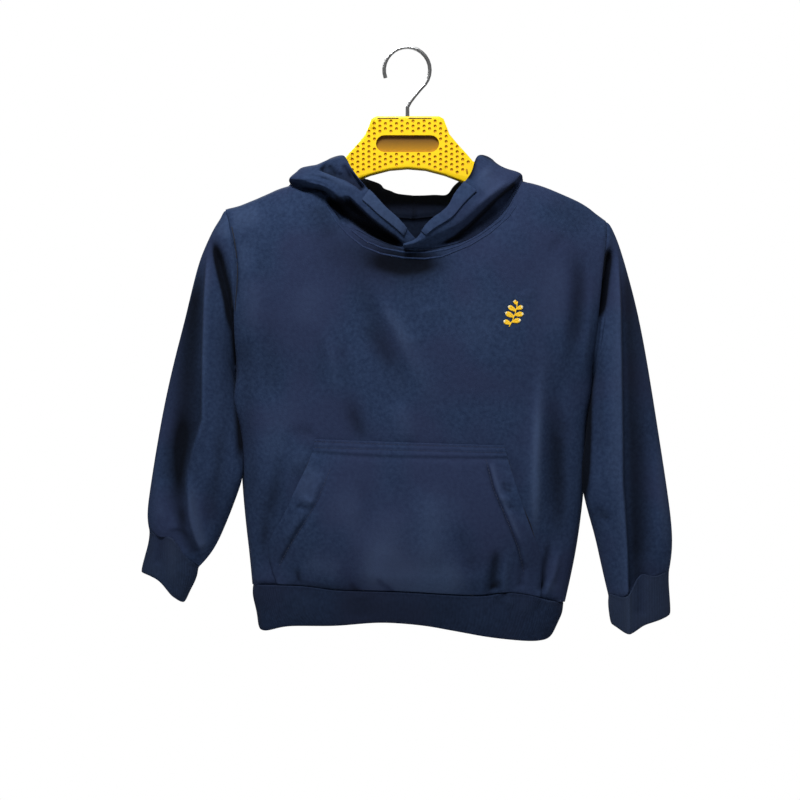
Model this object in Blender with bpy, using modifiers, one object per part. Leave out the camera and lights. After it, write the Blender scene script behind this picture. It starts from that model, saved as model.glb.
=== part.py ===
"""Toddler hoodie on a hanger: a pullover hoodie with kangaroo pocket, cut and sewn from panels.

Millimetres are used throughout and scaled to metres when a mesh is made.  +X is the right
of the garment as it hangs facing the viewer, the front faces -Y, +Z is up, and the origin is
the point inside the hook that bears on the rail.
"""

import math
from collections import namedtuple

import bmesh
import bpy
from mathutils import Vector

MM = 0.001

# Cloth
WALL = 1.8  # brushed sweatshirt fleece
BAND_WALL = 2.6  # doubled rib knit of cuffs and hem band
STRIP_WALL = 1.2  # strip sewn along the hood opening
SEAM_GAP = 0.3  # space left between two sewn pieces that run on straight
TURN_GAP = 0.7  # and where the cloth turns at the seam

# Body
BODY_MIDDLE_Z = -350.0
SECTION_POWER = 2.8  # squareness of the flattened body tube
ARMHOLE_POWER = 6.0  # the same where the tube is open to a sleeve
ARMHOLE_SPREAD = 1.5  # how soon that shape is reached from the ends of the armhole
EDGE_POWER = 12.0  # how close to the armhole the shoulder takes on its shape
SHOULDER_ROUND = 42.0  # drop over which a shoulder turns from ridge to full depth
RIDGE_POWER = 2.2
ARMHOLE_DEPTH_FRONT = 27.0
ARMHOLE_DEPTH_BACK = 24.0

Outline = namedtuple("Outline", "z left right front back")
BODY = (
    Outline(-150, -180.0, 199.0, 27, 25),
    Outline(-176, -177.0, 198.5, 31, 28),
    Outline(-197, -173.0, 196.5, 34, 30),
    Outline(-220, -170.0, 193.0, 36, 32),
    Outline(-250, -171.0, 190.0, 38, 33),
    Outline(-322, -169.0, 183.0, 39, 34),
    Outline(-370, -167.0, 179.5, 39, 34),
    Outline(-423, -165.3, 178.0, 38, 33),
    Outline(-489, -159.5, 171.0, 36, 32),
    Outline(-521, -155.5, 165.0, 33, 30),
    Outline(-545, -154.0, 160.0, 29, 27),
    Outline(-556, -152.5, 157.0, 27, 25),
)

Point = namedtuple("Point", "x y z")
SHOULDER_LEFT = (Point(-178.5, 0, -162), Point(-165, 0, -156), Point(-143, 0, -147))
SHOULDER_RIGHT = (Point(135, 0, -137), Point(154, 0, -145), Point(178, 0, -156), Point(196.6, 0, -172))
# Neckline from centre front, over the shoulder, to centre back
NECK_LEFT = (
    Point(7, -34, -206.5),
    Point(-35, -31, -193),
    Point(-60, -25, -174),
    Point(-88, -17, -152),
    Point(-115.5, -9.5, -138),
    Point(-118, 0, -137),
    Point(-115.5, 9.5, -138),
    Point(-75, 17, -153),
    Point(-32, 24, -164),
    Point(7, 25, -167),
)
NECK_RIGHT = (
    Point(7, -34, -206.5),
    Point(54, -31, -197),
    Point(78, -26, -182),
    Point(100, -18, -160),
    Point(111.5, -10.5, -138),
    Point(115, 0, -132),
    Point(111, 10.5, -136),
    Point(75, 17, -151),
    Point(40, 24, -163),
    Point(7, 25, -167),
)
UNDERARM_Z = {"left": -322.0, "right": -330.0}
SHOULDER_Z = {"left": SHOULDER_LEFT[0].z, "right": SHOULDER_RIGHT[-1].z}
NECK_LAST = len(NECK_LEFT) - 1
NECK_SHOULDER = 5  # row of the neckline where the shoulder seam meets it
NECK_STOPS = (0, 0.5, 1, 1.5, 2, 2.5, 3, 3.5, 4, 4.5, 5, 5.35, 5.7, 6, 6.3, 6.6, 7, 7.5, 8, 8.5, 9)
NECK_SAMPLES = 6  # points read from the neckline between two of its rows
NECK_STEP = 0.05  # least step along the neckline
NECK_DEPTH = 35.0  # distance from the middle plane at which the neckline lies in the panel

# Grid of the panels
FRONT_ROWS, BACK_ROWS = 24, 20
FRONT_SIDE_STEPS, BACK_SIDE_STEPS = 7, 5  # columns between side seam and neckline
COLUMN_PULL = 1.5  # how much closer the columns are at the side seams
SHOULDER_PULL = 1.3  # and at the ends of the shoulders
COLUMN_LEAN = 3  # how late, going up, the columns lean over to the neckline's points
ROW_PULL = 1.6  # how much closer the rows are at the shoulder
HEM_LEAD = 0.02  # share of the height over which the cloth's run at the hem is read
PANEL_PASSES = 8  # repeats that settle a point on both its row and its column

Seam = namedtuple("Seam", "x z")
HEM_FRONT = (
    Seam(-158, -535),
    Seam(-126, -534),
    Seam(-100, -535),
    Seam(-70, -540.5),
    Seam(-21, -543.5),
    Seam(57, -546),
    Seam(82, -545),
    Seam(96, -541),
    Seam(122, -544),
    Seam(140, -549.5),
    Seam(163, -553),
)
HEM_BACK = (Seam(-158, -535), Seam(0, -548), Seam(163, -553))
BAND_FRONT = (
    Seam(-146, -576),
    Seam(-140, -577),
    Seam(-110, -574),
    Seam(-75, -573.5),
    Seam(-25, -570),
    Seam(13, -572.5),
    Seam(45, -578),
    Seam(89, -586),
    Seam(127, -589.5),
    Seam(138, -588),
    Seam(145, -582),
)
BAND_BACK = (Seam(-146, -576), Seam(0, -574), Seam(145, -582))
BAND_LEFT, BAND_RIGHT = -145.0, 143.5  # sides of the band at its lower edge
BAND_DEPTH_FRONT, BAND_DEPTH_BACK = 26.0, 24.0
BAND_LEAD = 3.0
BAND_SWELL = 1.5

# Folds are soft ridges (positive) or troughs (negative) from one end to the other
Fold = namedtuple("Fold", "x0 z0 x1 z1 width depth")
FOLD_END = 0.12  # share of its length by which a fold rises at each end
FRONT_FOLDS = (
    Fold(-40, -260, 25, -380, 16, -2.6),
    Fold(-65, -300, -10, -420, 14, 2.2),
    Fold(15, -250, 60, -350, 16, 1.8),
    Fold(-115, -290, -70, -400, 15, -1.8),
    Fold(128, -230, 148, -330, 13, -2.6),
    Fold(152, -400, 140, -500, 11, -3.6),
    Fold(127, -395, 124, -505, 10, 2.6),
    Fold(108, -505, 124, -540, 8, -2.6),
    Fold(-150, -300, -140, -450, 14, 1.6),
    Fold(-120, -450, -138, -520, 10, -2.0),
)
BACK_FOLDS = (
    Fold(-120, -230, -60, -360, 18, -3.4),
    Fold(-90, -300, -40, -450, 16, 2.8),
    Fold(120, -230, 70, -350, 18, -3.2),
    Fold(60, -330, 95, -480, 15, 2.6),
    Fold(5, -380, -10, -520, 16, -2.8),
    Fold(140, -400, 130, -520, 12, -2.8),
    Fold(-140, -430, -130, -525, 11, 2.4),
)

# Sleeves: each ring lies between a point on the outer and one on the inner outline
Ring = namedtuple("Ring", "out_x out_z in_x in_z front back dip arch lean")
DIP_SHARE, DIP_WIDTH = 0.23, 0.17  # where across a ring its front edge dips, and how widely
SLEEVE_LEFT = (
    Ring(-191, -175, -175, -337, 26, 23, 0, 0, 0),
    Ring(-199, -191, -171, -353, 24, 21, 0, 0, 0),
    Ring(-207.5, -211, -169, -368, 24, 21, 0, 0, 4),
    Ring(-215, -239, -167, -384, 24, 21, 0, 0, 9),
    Ring(-222.5, -271, -165.5, -400, 24, 22, 0, 0, 13),
    Ring(-232.5, -309, -165, -415, 25, 22, 0, 0, 14),
    Ring(-243.5, -358, -165.5, -432, 25, 23, 0, 0, 12),
    Ring(-252.5, -410, -171.5, -453, 24, 22, 0, 0, 8),
    Ring(-258.5, -449, -182, -479, 22, 21, 0, 0, 4),
    Ring(-260, -468, -194, -503, 20, 19, 0, 0, 1),
    Ring(-258, -480, -206.6, -517, 17, 17, 2, 0, 0),
)
CUFF_LEFT = (
    Ring(-258, -480, -206.6, -517, 17, 17, 2, 0, 0),
    Ring(-258.5, -494, -209, -526, 17, 17, 4, 1, 0),
    Ring(-263, -509, -214, -538, 17, 17, 7, 3, 0),
    Ring(-266.5, -523, -222, -549, 17, 17, 9, 5, 0),
)
SLEEVE_RIGHT = (
    Ring(205.5, -180, 185.5, -341, 26, 23, 0, 0, 0),
    Ring(210, -190, 183, -358, 24, 21, 0, 0, 0),
    Ring(216, -208, 181, -372, 24, 21, 0, 0, 4),
    Ring(223.5, -234, 179.5, -388, 24, 21, 0, 0, 9),
    Ring(231, -264, 177.4, -404, 25.5, 22.5, 0, 0, 13),
    Ring(239, -305, 176.2, -421, 26.5, 22.5, 0, 0, 14),
    Ring(247.5, -357, 175.6, -440, 27, 22.5, 0, 0, 12),
    Ring(256, -412, 179.4, -462, 27, 21, 0, 0, 8),
    Ring(263.5, -463, 187, -487, 25, 18, 4, 0, 4),
    Ring(265.8, -497, 194.5, -520, 23, 17, 7, 0, 1),
    Ring(262.4, -520, 200.5, -544.5, 21, 16, 10, 0, 0),
)
CUFF_RIGHT = (
    Ring(262.4, -520, 200.5, -544.5, 21, 16, 10, 0, 0),
    Ring(261.8, -534, 200.5, -553, 21, 16, 10, -1, 0),
    Ring(263, -549, 201.5, -564, 21, 16, 10, -2, 0),
    Ring(264, -565, 203.5, -575.5, 21, 16, 10, -3, 0),
)
SLEEVE_FOLDS_LEFT = (
    Fold(-191, -208, -176, -275, 6.5, -9),
    Fold(-174, -270, -167.5, -415, 6.5, -9),
    Fold(-200, -215, -205, -370, 8, 4.5),
    Fold(-205, -370, -219, -480, 8, 4.5),
    Fold(-222, -300, -234, -470, 8, -4.5),
)
SLEEVE_FOLDS_RIGHT = (
    Fold(204, -205, 191, -275, 7, -9),
    Fold(190, -290, 180, -425, 8, -6),
    Fold(212, -200, 214, -440, 7, 5),
    Fold(214, -440, 222, -600, 7, 7),
    Fold(232, -300, 238, -500, 9, -4),
)
SLEEVE_BACK_FOLD = 4.0  # depth of the one soft trough down the back of a sleeve
BACK_FOLD_WIDTH = 0.05  # and its width as a share of the way round
SLEEVE_SETTLE = 8.0  # how soon after the armhole the folds have their full depth
SLEEVE_LEAD = 3.0  # first stretch of a sleeve, straight on from the armhole
SHOULDER_SLOPE = 0.55
ARMHOLE_TURN = 0.38  # how much the cloth turns in towards the middle at the armhole
CUFF_LEAD = 2.5
SLEEVE_STEPS = (24, 18)
CUFF_STEPS = (24, 4)

# Kangaroo pocket: left and right edge at each height, and how far it is sewn down there
Edge = namedtuple("Edge", "z left right open")
POCKET = (
    Edge(-392.5, -90.0, 94.5, 0.0),
    Edge(-402, -91.5, 97.0, 0.25),
    Edge(-442, -109.5, 109.5, 1.0),
    Edge(-470, -122.5, 119.5, 1.0),
    Edge(-495, -137.0, 131.0, 0.5),
    Edge(-512, -134.5, 132.5, 0.0),
    Edge(-531, -127.5, 131.0, 0.0),
)
POCKET_TILT = -6.0  # drop of the pocket from its left to its right side
POCKET_PUFF = 10.0
POCKET_SQUARE = 4  # how far out to its sides the pocket keeps its puff
POCKET_ROUND = 0.7  # and up to its top and down to its bottom
POCKET_ABOVE_HEM = 1.5
POCKET_GAP = 0.5
POCKET_STEPS = (14, 12)

# Hood: from the neck seam each section is tucked, rolls over, hangs as a pouch and ends at the rim
Section = namedtuple("Section", "roll_x roll_y roll_z rim_x rim_y rim_z tuck sag spread")
HOOD_LEFT = (
    Section(9, -30.5, -200, 10, -30.5, -191, 0, 0, 0),
    Section(-26, -38, -184, -15, -36.5, -167, 3, 0, 0),
    Section(-50, -39, -166, -37, -34, -146, 7, 0, 0),
    Section(-82, -34, -144, -54, -26, -124, 7, 0, 0),
    Section(-109, -20, -130.5, -60, -14, -112, 2, 0, 0),
    Section(-105, -1, -119.5, -64, -5, -106.5, 0, 0, 0),
    Section(-99, 16, -124, -88, 30, -113, 0, 0, 0),
    Section(-57, 28, -116, -77, 54, -138, 0, 56, -36),
    Section(-22, 35, -135.5, -38, 68, -172, 0, 124, -35),
    Section(7, 36, -142, 7, 78, -190, 0, 130, 0),
)
HOOD_RIGHT = (
    Section(-4, -40, -201.5, -5, -40.5, -196, 0, 0, 0),
    Section(44, -39.5, -184, 27, -39, -169, 3, 0, 0),
    Section(66, -39, -167, 47, -35, -148, 5, 0, 0),
    Section(91, -33, -147, 63, -26, -128, 5, 0, 0),
    Section(106, -19, -135, 67, -14, -114, 2, 0, 0),
    Section(101, -1, -121, 72, -5, -106, 0, 0, 0),
    Section(100.5, 16, -123.5, 92, 30, -112, 0, 0, 0),
    Section(66, 28, -116, 82, 54, -137, 0, 56, 36),
    Section(40, 35, -137, 51, 68, -172, 0, 124, 35),
    Section(7, 36, -142, 7, 78, -190, 0, 130, 0),
)
HOOD_STAND = 0.8  # how much the hood stands up from the shoulder, against lying on it
HOOD_LEAD = 4.0  # first stretch of the hood, straight on from the neckline
HOOD_BULGE = 2.5  # fullness of the front strip between roll and rim
HOOD_STEPS = (0, 1, 1.5, 2, 2.5, 3, 3.5, 4, 4.5, 5, 5.5, 6, 6.5, 7)
POUCH_CLEAR = 42.0  # least depth of the hanging pouch, behind the back panel
HOOD_UNDER = 2.8  # how far the underlying front end is set back at the neckline
HOOD_OVER = 1.5  # and the overlying one forward
HOOD_OVERLAP = 0.26  # share of a row by which the overlying end runs past the middle
STRIP_COLUMNS = {"left": (1, 4), "right": (1, 5)}
STRIP_ROWS = (9, 13)

# Hanger
HANGER_THICK = 11.0
HANGER_EDGE = 1.8
HANGER_MIDDLE = 0.5
HEAD_TOP = -68.0
HEAD_HALF = (
    Seam(31.5, -68),
    Seam(36, -70.5),
    Seam(38.5, -77),
    Seam(42, -86),
    Seam(49, -94.5),
    Seam(59, -105.5),
)
ARM_CLEARANCE = 2.6  # between the top of an arm and the shoulder ridge of the cloth on it
ARM_ROOT = Seam(65, -112.5)
ARM_TOP_X = (113, 124, 146, 164)
ARM_TIP = Seam(169, -174)
ARM_UNDER = (
    Seam(162, -180),
    Seam(118, -163),
    Seam(80, -147),
    Seam(54, -133),
    Seam(37, -126.5),
    Seam(18, -121.5),
)
ARCH_TOP = -120.0
RECESS_LENGTH, RECESS_HEIGHT, RECESS_DEPTH = 63.0, 17.0, 3.0
RECESS_Z = -95.5
HOOK_WIRE = 1.9
HOOK_BORE = 21.0
HOOK_STEM_TOP = -58.0
HOOK_START, HOOK_END = 200.0, -50.0

COLOURS = {
    "fleece": ((0.016, 0.030, 0.072), 0.95, 0.0),
    "rib": ((0.012, 0.022, 0.055), 0.95, 0.0),
    "plastic": ((0.95, 0.68, 0.02), 0.35, 0.0),
    "steel": ((0.62, 0.62, 0.62), 0.3, 1.0),
}


def curve(knots, values):
    """Smooth function through the values, which never overshoots between two of them."""
    pairs = sorted(zip(knots, values))
    xs = [float(x) for x, _ in pairs]
    ys = [float(y) for _, y in pairs]
    chords = [(ys[i + 1] - ys[i]) / (xs[i + 1] - xs[i]) for i in range(len(xs) - 1)]
    slopes = [chords[0]]
    for before, after in zip(chords, chords[1:]):
        slopes.append(2 * before * after / (before + after) if before * after > 0 else 0.0)
    slopes.append(chords[-1])

    def at(x):
        x = min(max(x, xs[0]), xs[-1])
        i = 0
        while i < len(chords) - 1 and x > xs[i + 1]:
            i += 1
        span = xs[i + 1] - xs[i]
        t = (x - xs[i]) / span
        rise = (2 * t**3 - 3 * t**2 + 1) * ys[i] + (3 * t**2 - 2 * t**3) * ys[i + 1]
        turn = (t**3 - 2 * t**2 + t) * slopes[i] + (t**3 - t**2) * slopes[i + 1]
        return rise + span * turn

    return at


def column(rows, key, name):
    """Smooth function of one named column of a table, read along another."""
    return curve([getattr(row, key) for row in rows], [getattr(row, name) for row in rows])


def along(points, t):
    """Point on the smooth curve through the points, at t = 0 for the first, 1 for the next."""
    last = len(points) - 1
    i = min(int(t), last - 1)
    here, there = points[i], points[i + 1]
    before = points[i - 1] if i else 2 * here - there
    after = points[i + 2] if i + 2 <= last else 2 * there - here
    k0 = 0.0
    k1 = k0 + max((here - before).length, 0.01) ** 0.5
    k2 = k1 + max((there - here).length, 0.01) ** 0.5
    k3 = k2 + max((after - there).length, 0.01) ** 0.5
    k = k1 + (k2 - k1) * (t - i)
    a1 = before.lerp(here, (k - k0) / (k1 - k0))
    a2 = here.lerp(there, (k - k1) / (k2 - k1))
    a3 = there.lerp(after, (k - k2) / (k3 - k2))
    b1 = a1.lerp(a2, (k - k0) / (k2 - k0))
    b2 = a2.lerp(a3, (k - k1) / (k3 - k1))
    return b1.lerp(b2, (k - k1) / (k2 - k1))


def relief(folds, x, z):
    """Height of all the folds at one place, each fading out to its sides and ends."""
    height = 0.0
    for fold in folds:
        run = Vector((fold.x1 - fold.x0, fold.z1 - fold.z0))
        place = Vector((x - fold.x0, z - fold.z0))
        share = place.dot(run) / run.length_squared
        reach = max(0.0, -share, share - 1.0) * run.length / (2 * fold.width)
        off = (place - run * min(max(share, 0.0), 1.0)).length
        if reach:
            off = place.cross(run) / run.length
        fade = math.exp(-4 * reach * reach)
        taper = math.sin(math.pi * min(max(FOLD_END + (1 - 2 * FOLD_END) * share, 0.02), 0.98)) ** 0.6
        height += fold.depth * fade * taper * math.exp(-((off / fold.width) ** 2))
    return height


# ---- Shape of the body tube -------------------------------------------------

body_left, body_right = column(BODY, "z", "left"), column(BODY, "z", "right")
body_front, body_back = column(BODY, "z", "front"), column(BODY, "z", "back")
hem_front, hem_back = column(HEM_FRONT, "x", "z"), column(HEM_BACK, "x", "z")


def neckline(side, t):
    """Point of the neckline of one half: 0 at centre front, the last row at centre back."""
    rows = NECK_LEFT if side == "left" else NECK_RIGHT
    return along([Vector(row) for row in rows], t)


def top_line(first, last):
    """Points along the top of a panel: shoulder, neckline between two of its rows, shoulder."""
    steps = NECK_SAMPLES * abs(last - first)
    line = list(SHOULDER_LEFT)
    for step in range(2 * steps + 1):
        side = "left" if step <= steps else "right"
        share = step / steps if side == "left" else 2 - step / steps
        point = Point(*neckline(side, first + (last - first) * share))
        if point.x > line[-1].x + NECK_STEP:
            line.append(point)
    return tuple(line) + SHOULDER_RIGHT


tops = {"front": top_line(NECK_SHOULDER, 0), "back": top_line(NECK_SHOULDER, NECK_LAST)}
top_z = {face: column(line, "x", "z") for face, line in tops.items()}
top_y = {face: column(line, "x", "y") for face, line in tops.items()}


def armhole(side, z):
    """Share of the full armhole depth at a height: none at the shoulder and the underarm."""
    middle = (SHOULDER_Z[side] + UNDERARM_Z[side]) / 2
    half = (SHOULDER_Z[side] - UNDERARM_Z[side]) / 2
    return max(0.0, 1 - ((z - middle) / half) ** 2) ** 0.5


def panel_y(face, x, z):
    """Distance of the front or back panel from the middle plane."""
    left, right = body_left(z), body_right(z)
    across = min(max((2 * x - left - right) / (right - left), -1.0), 1.0)
    side = "left" if across < 0 else "right"
    hollow = ARMHOLE_DEPTH_FRONT if face == "front" else ARMHOLE_DEPTH_BACK
    edge = hollow * armhole(side, z)
    depth = body_front(z) if face == "front" else body_back(z)
    round_off = (1 - abs(across) ** SECTION_POWER) ** (1 / SECTION_POWER)
    flat = 1 - abs(across) ** ARMHOLE_POWER
    round_off += (flat - round_off) * min(ARMHOLE_SPREAD * armhole(side, z), 1.0)
    sign = -1 if face == "front" else 1
    folds = FRONT_FOLDS if face == "front" else BACK_FOLDS
    full = sign * (edge + (depth - edge) * round_off + relief(folds, x, z) * round_off**2)
    start = top_y[face](x)
    drop = min(max((top_z[face](x) - z) / SHOULDER_ROUND, 0.0), 1.0)
    ridge = (1 - (1 - drop) ** RIDGE_POWER) ** (1 / RIDGE_POWER)
    gentle = math.sin(drop * math.pi / 2)
    neck = min(abs(start) / NECK_DEPTH, 1.0)
    at_armhole = sign * edge * (1 - ridge) * abs(across) ** EDGE_POWER
    return start + (full - start) * (ridge + (gentle - ridge) * neck) + at_armhole


def panel_point(face, across, up):
    """Point of a body panel, across and up being shares of its width and height."""
    hem = hem_front if face == "front" else hem_back
    z = BODY_MIDDLE_Z
    x = 0.0
    for _ in range(PANEL_PASSES):
        x = body_left(z) + (body_right(z) - body_left(z)) * across
        z = hem(x) + (top_z[face](x) - hem(x)) * up
    return Vector((x, panel_y(face, x, z), z))


def even_share(step, steps):
    """Share of the width at a column, closer together towards both side seams."""
    near = min(step, steps - step)
    share = 0.5 * (2 * near / steps) ** COLUMN_PULL
    return share if near == step else 1 - share


def panel_columns(face, side_steps):
    """Columns of a panel: how far across, and the neckline's side and place it meets."""
    if face == "front":
        half = [t for t in reversed(NECK_STOPS) if t <= NECK_SHOULDER]
    else:
        half = [t for t in NECK_STOPS if t >= NECK_SHOULDER]
    stops = [("left", t) for t in half] + [("right", t) for t in reversed(half[:-1])]
    shares = []
    for side, t in stops:
        point = neckline(side, t)
        left, right = body_left(point.z), body_right(point.z)
        shares.append((point.x - left) / (right - left))
    near = [shares[0] * (i / side_steps) ** SHOULDER_PULL for i in range(side_steps)]
    far = [1 - (1 - shares[-1]) * (i / side_steps) ** SHOULDER_PULL for i in range(side_steps)]
    return near + shares + far[::-1], [None] * side_steps + stops + [None] * side_steps


def column_share(face, step, up):
    """Share of the width of one column at a height: even below, on the neckline's points above."""
    shares = columns[face][0]
    even = even_share(step, len(shares) - 1)
    return even + (shares[step] - even) * up**COLUMN_LEAN


def row_share(step, steps):
    """Share of the height at a row, closer together towards the shoulder."""
    return 1 - (1 - step / steps) ** ROW_PULL


def neck_rise(side, t):
    """Direction in which the cloth runs on past the neckline."""
    foot = neckline(side, t)
    course = neckline(side, min(t + 0.05, NECK_LAST)) - neckline(side, max(t - 0.05, 0))
    tilt = min(max(foot.y / NECK_DEPTH, -1.0), 1.0)
    normal = Vector((0, tilt, (1 - tilt * tilt) ** 0.5))
    rise = normal.cross(course).normalized() * (-1 if side == "left" else 1)
    return (rise + Vector((0, 0, HOOD_STAND * (1 - abs(tilt))))).normalized()


def sleeve_run(side, turn):
    """Direction in which the cloth runs on past the armhole, at a turn round it."""
    angle = 2 * math.pi * turn
    outward = -1 if side == "left" else 1
    slope = SHOULDER_SLOPE * math.cos(angle) ** 2
    return Vector((outward, ARMHOLE_TURN * math.sin(angle), -slope)).normalized()


def hem_run(face, across):
    """Direction in which the cloth runs on past the hem seam."""
    return (panel_point(face, across, 0.0) - panel_point(face, across, HEM_LEAD)).normalized()


# ---- Meshes -----------------------------------------------------------------


def no_seams(u, v):
    return ()


def sheet(name, steps, place, material, wall, seams=no_seams, inside_out=False, closed=False):
    """Cloth piece: a grid laid on a surface and given its wall, as one solid.

    At a seam the end of the wall is cut square to the direction in which the cloth runs on.
    """
    bm = bmesh.new()
    bmesh.ops.create_grid(bm, x_segments=steps[0], y_segments=steps[1], size=1.0)
    spots = {vert: ((vert.co.x + 1) / 2, (vert.co.y + 1) / 2) for vert in bm.verts}
    for vert, spot in spots.items():
        vert.co = place(*spot) * MM
    if closed:
        bmesh.ops.remove_doubles(bm, verts=bm.verts, dist=1e-5)
    if inside_out:
        bmesh.ops.reverse_faces(bm, faces=bm.faces)
    bm.normal_update()
    inward = {}
    for vert, spot in spots.items():
        if not vert.is_valid:
            continue
        normal = vert.normal.copy()
        for run in seams(*spot):
            normal -= normal.dot(run) * run
        inward[tuple(vert.co)] = normal.normalized() * -wall * MM
    made = bmesh.ops.extrude_face_region(bm, geom=bm.faces[:], use_keep_orig=True)
    for item in made["geom"]:
        if isinstance(item, bmesh.types.BMVert):
            item.co += inward[tuple(item.co)]
    bmesh.ops.recalc_face_normals(bm, faces=bm.faces)
    mesh = bpy.data.meshes.new(name)
    bm.to_mesh(mesh)
    bm.free()
    mesh.shade_smooth()
    mesh.set_sharp_from_angle(angle=math.radians(60))
    return add_object(name, mesh, material)


def add_object(name, data, material):
    piece = bpy.data.objects.new(name, data)
    data.materials.append(material)
    parts.objects.link(piece)
    return piece


def make_material(name, colour, roughness, metallic):
    material = bpy.data.materials.new(name)
    material.use_nodes = True
    shader = material.node_tree.nodes["Principled BSDF"]
    shader.inputs["Base Color"].default_value = (*colour, 1.0)
    shader.inputs["Roughness"].default_value = roughness
    shader.inputs["Metallic"].default_value = metallic
    return material


# ---- Body panels ------------------------------------------------------------


def build_panel(face, rows, inside_out=False):
    last = len(columns[face][0]) - 1
    sign = -1 if face == "front" else 1

    def place(u, v):
        up = row_share(round(v * rows), rows)
        point = panel_point(face, column_share(face, round(u * last), up), up)
        return point + Vector((0, sign * SEAM_GAP / 2, 0))

    def seams(u, v):
        step = round(u * last)
        runs = []
        if step in (0, last):
            side = "left" if step == 0 else "right"
            z = place(u, v).z
            if z > UNDERARM_Z[side]:
                turn = armhole_turn(side, z)
                runs.append(sleeve_run(side, turn if face == "front" else -turn))
            else:
                runs.append(Vector((0, 1, 0)))
        if v == 1:
            meets = columns[face][1][step]
            if meets:
                runs.append(neck_rise(*meets))
            if not meets or meets[1] == NECK_SHOULDER:
                runs.append(Vector((0, 1, 0)))
        if v == 0:
            runs.append(hem_run(face, column_share(face, step, 0.0)))
        return runs

    sheet(face, (last, rows), place, fleece, WALL, seams, inside_out=inside_out)


# ---- Sleeves and cuffs ------------------------------------------------------


def ring_point(ring, turn):
    """Point of a ring at a turn: 0 on the outer outline, a quarter at the front."""
    angle = 2 * math.pi * turn
    share = (1 + math.cos(angle)) / 2
    lift = math.sin(angle)
    depth = ring.front if lift > 0 else ring.back
    low = ring.dip * max(lift, 0.0) * math.exp(-(((share - DIP_SHARE) / DIP_WIDTH) ** 2))
    return Vector(
        (
            ring.in_x + (ring.out_x - ring.in_x) * share,
            -depth * lift - ring.lean * (1 - share) ** 3,
            ring.in_z + (ring.out_z - ring.in_z) * share + ring.arch * lift**2 - low,
        )
    )


def armhole_turn(side, z):
    """Turn at which a height is passed at the front of the armhole."""
    middle = (SHOULDER_Z[side] + UNDERARM_Z[side]) / 2
    half = (SHOULDER_Z[side] - UNDERARM_Z[side]) / 2
    return math.acos(min(max((z - middle) / half, -1.0), 1.0)) / (2 * math.pi)


def armhole_point(side, turn):
    """Point of the armhole seam at the same turn as on a sleeve's ring."""
    angle = 2 * math.pi * turn
    middle = (SHOULDER_Z[side] + UNDERARM_Z[side]) / 2
    half = (SHOULDER_Z[side] - UNDERARM_Z[side]) / 2
    z = middle + half * math.cos(angle)
    lift = math.sin(angle)
    depth = ARMHOLE_DEPTH_FRONT if lift > 0 else ARMHOLE_DEPTH_BACK
    x = body_left(z) if side == "left" else body_right(z)
    return Vector((x, -depth * lift, z))


def build_tube(name, side, rings, folds, steps, wall, material, cuff_of=None):
    """Sleeve from its armhole, or the cuff that carries on from the end of a sleeve."""

    def seam_run(u):
        if cuff_of:
            return (ring_point(rings[0], u) - ring_point(cuff_of[-2], u)).normalized()
        return sleeve_run(side, u)

    def place(u, v):
        points = [ring_point(ring, u) for ring in rings]
        run = seam_run(u)
        if cuff_of:
            start = points.pop(0) + run * TURN_GAP
        else:
            start = armhole_point(side, u) + run * SEAM_GAP
        points = [start, start + run * (CUFF_LEAD if cuff_of else SLEEVE_LEAD)] + points
        point = along(points, v * (len(points) - 1))
        lift = math.sin(2 * math.pi * u)
        if lift > 0:
            settle = 1.0 if cuff_of else min(v * SLEEVE_SETTLE, 1.0)
            point.y -= relief(folds, point.x, point.z) * lift**0.5 * settle
        elif not cuff_of:
            groove = math.exp(-(((u - 0.75) / BACK_FOLD_WIDTH) ** 2)) * math.sin(math.pi * v)
            point.y -= SLEEVE_BACK_FOLD * lift**2 * groove
        return point

    def seams(u, v):
        if v == 0:
            return (seam_run(u),)
        if v == 1 and not cuff_of:
            return ((ring_point(rings[-1], u) - ring_point(rings[-2], u)).normalized(),)
        return ()

    sheet(name, steps, place, material, wall, seams, inside_out=side == "left", closed=True)


# ---- Hem band ---------------------------------------------------------------

band_front, band_back = column(BAND_FRONT, "x", "z"), column(BAND_BACK, "x", "z")


def band_column(u):
    """Panel and share of its width met by the band, from the left side over the front."""
    front_last, back_last = len(columns["front"][0]) - 1, len(columns["back"][0]) - 1
    step = round(u * (front_last + back_last))
    if step <= front_last:
        return "front", column_share("front", step, 0.0)
    return "back", column_share("back", front_last + back_last - step, 0.0)


def band_place(u, v):
    face, across = band_column(u)
    run = hem_run(face, across)
    x = BAND_LEFT + (BAND_RIGHT - BAND_LEFT) * across
    depth = -BAND_DEPTH_FRONT if face == "front" else BAND_DEPTH_BACK
    y = depth * (1 - abs(2 * across - 1) ** SECTION_POWER) ** (1 / SECTION_POWER)
    low = Vector((x, y, (band_front if face == "front" else band_back)(x)))
    start = panel_point(face, across, 0.0) + run * TURN_GAP
    lead = start + run * BAND_LEAD
    swell = Vector((0, BAND_SWELL * y / max(BAND_DEPTH_FRONT, abs(depth)), 0))
    return along([start, lead, start.lerp(low, 0.5) + swell, low], 3 * v)


def band_seams(u, v):
    return (hem_run(*band_column(u)),) if v == 0 else ()


# ---- Pocket -----------------------------------------------------------------

pocket_left, pocket_right = column(POCKET, "z", "left"), column(POCKET, "z", "right")
pocket_open = column(POCKET, "z", "open")


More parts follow.
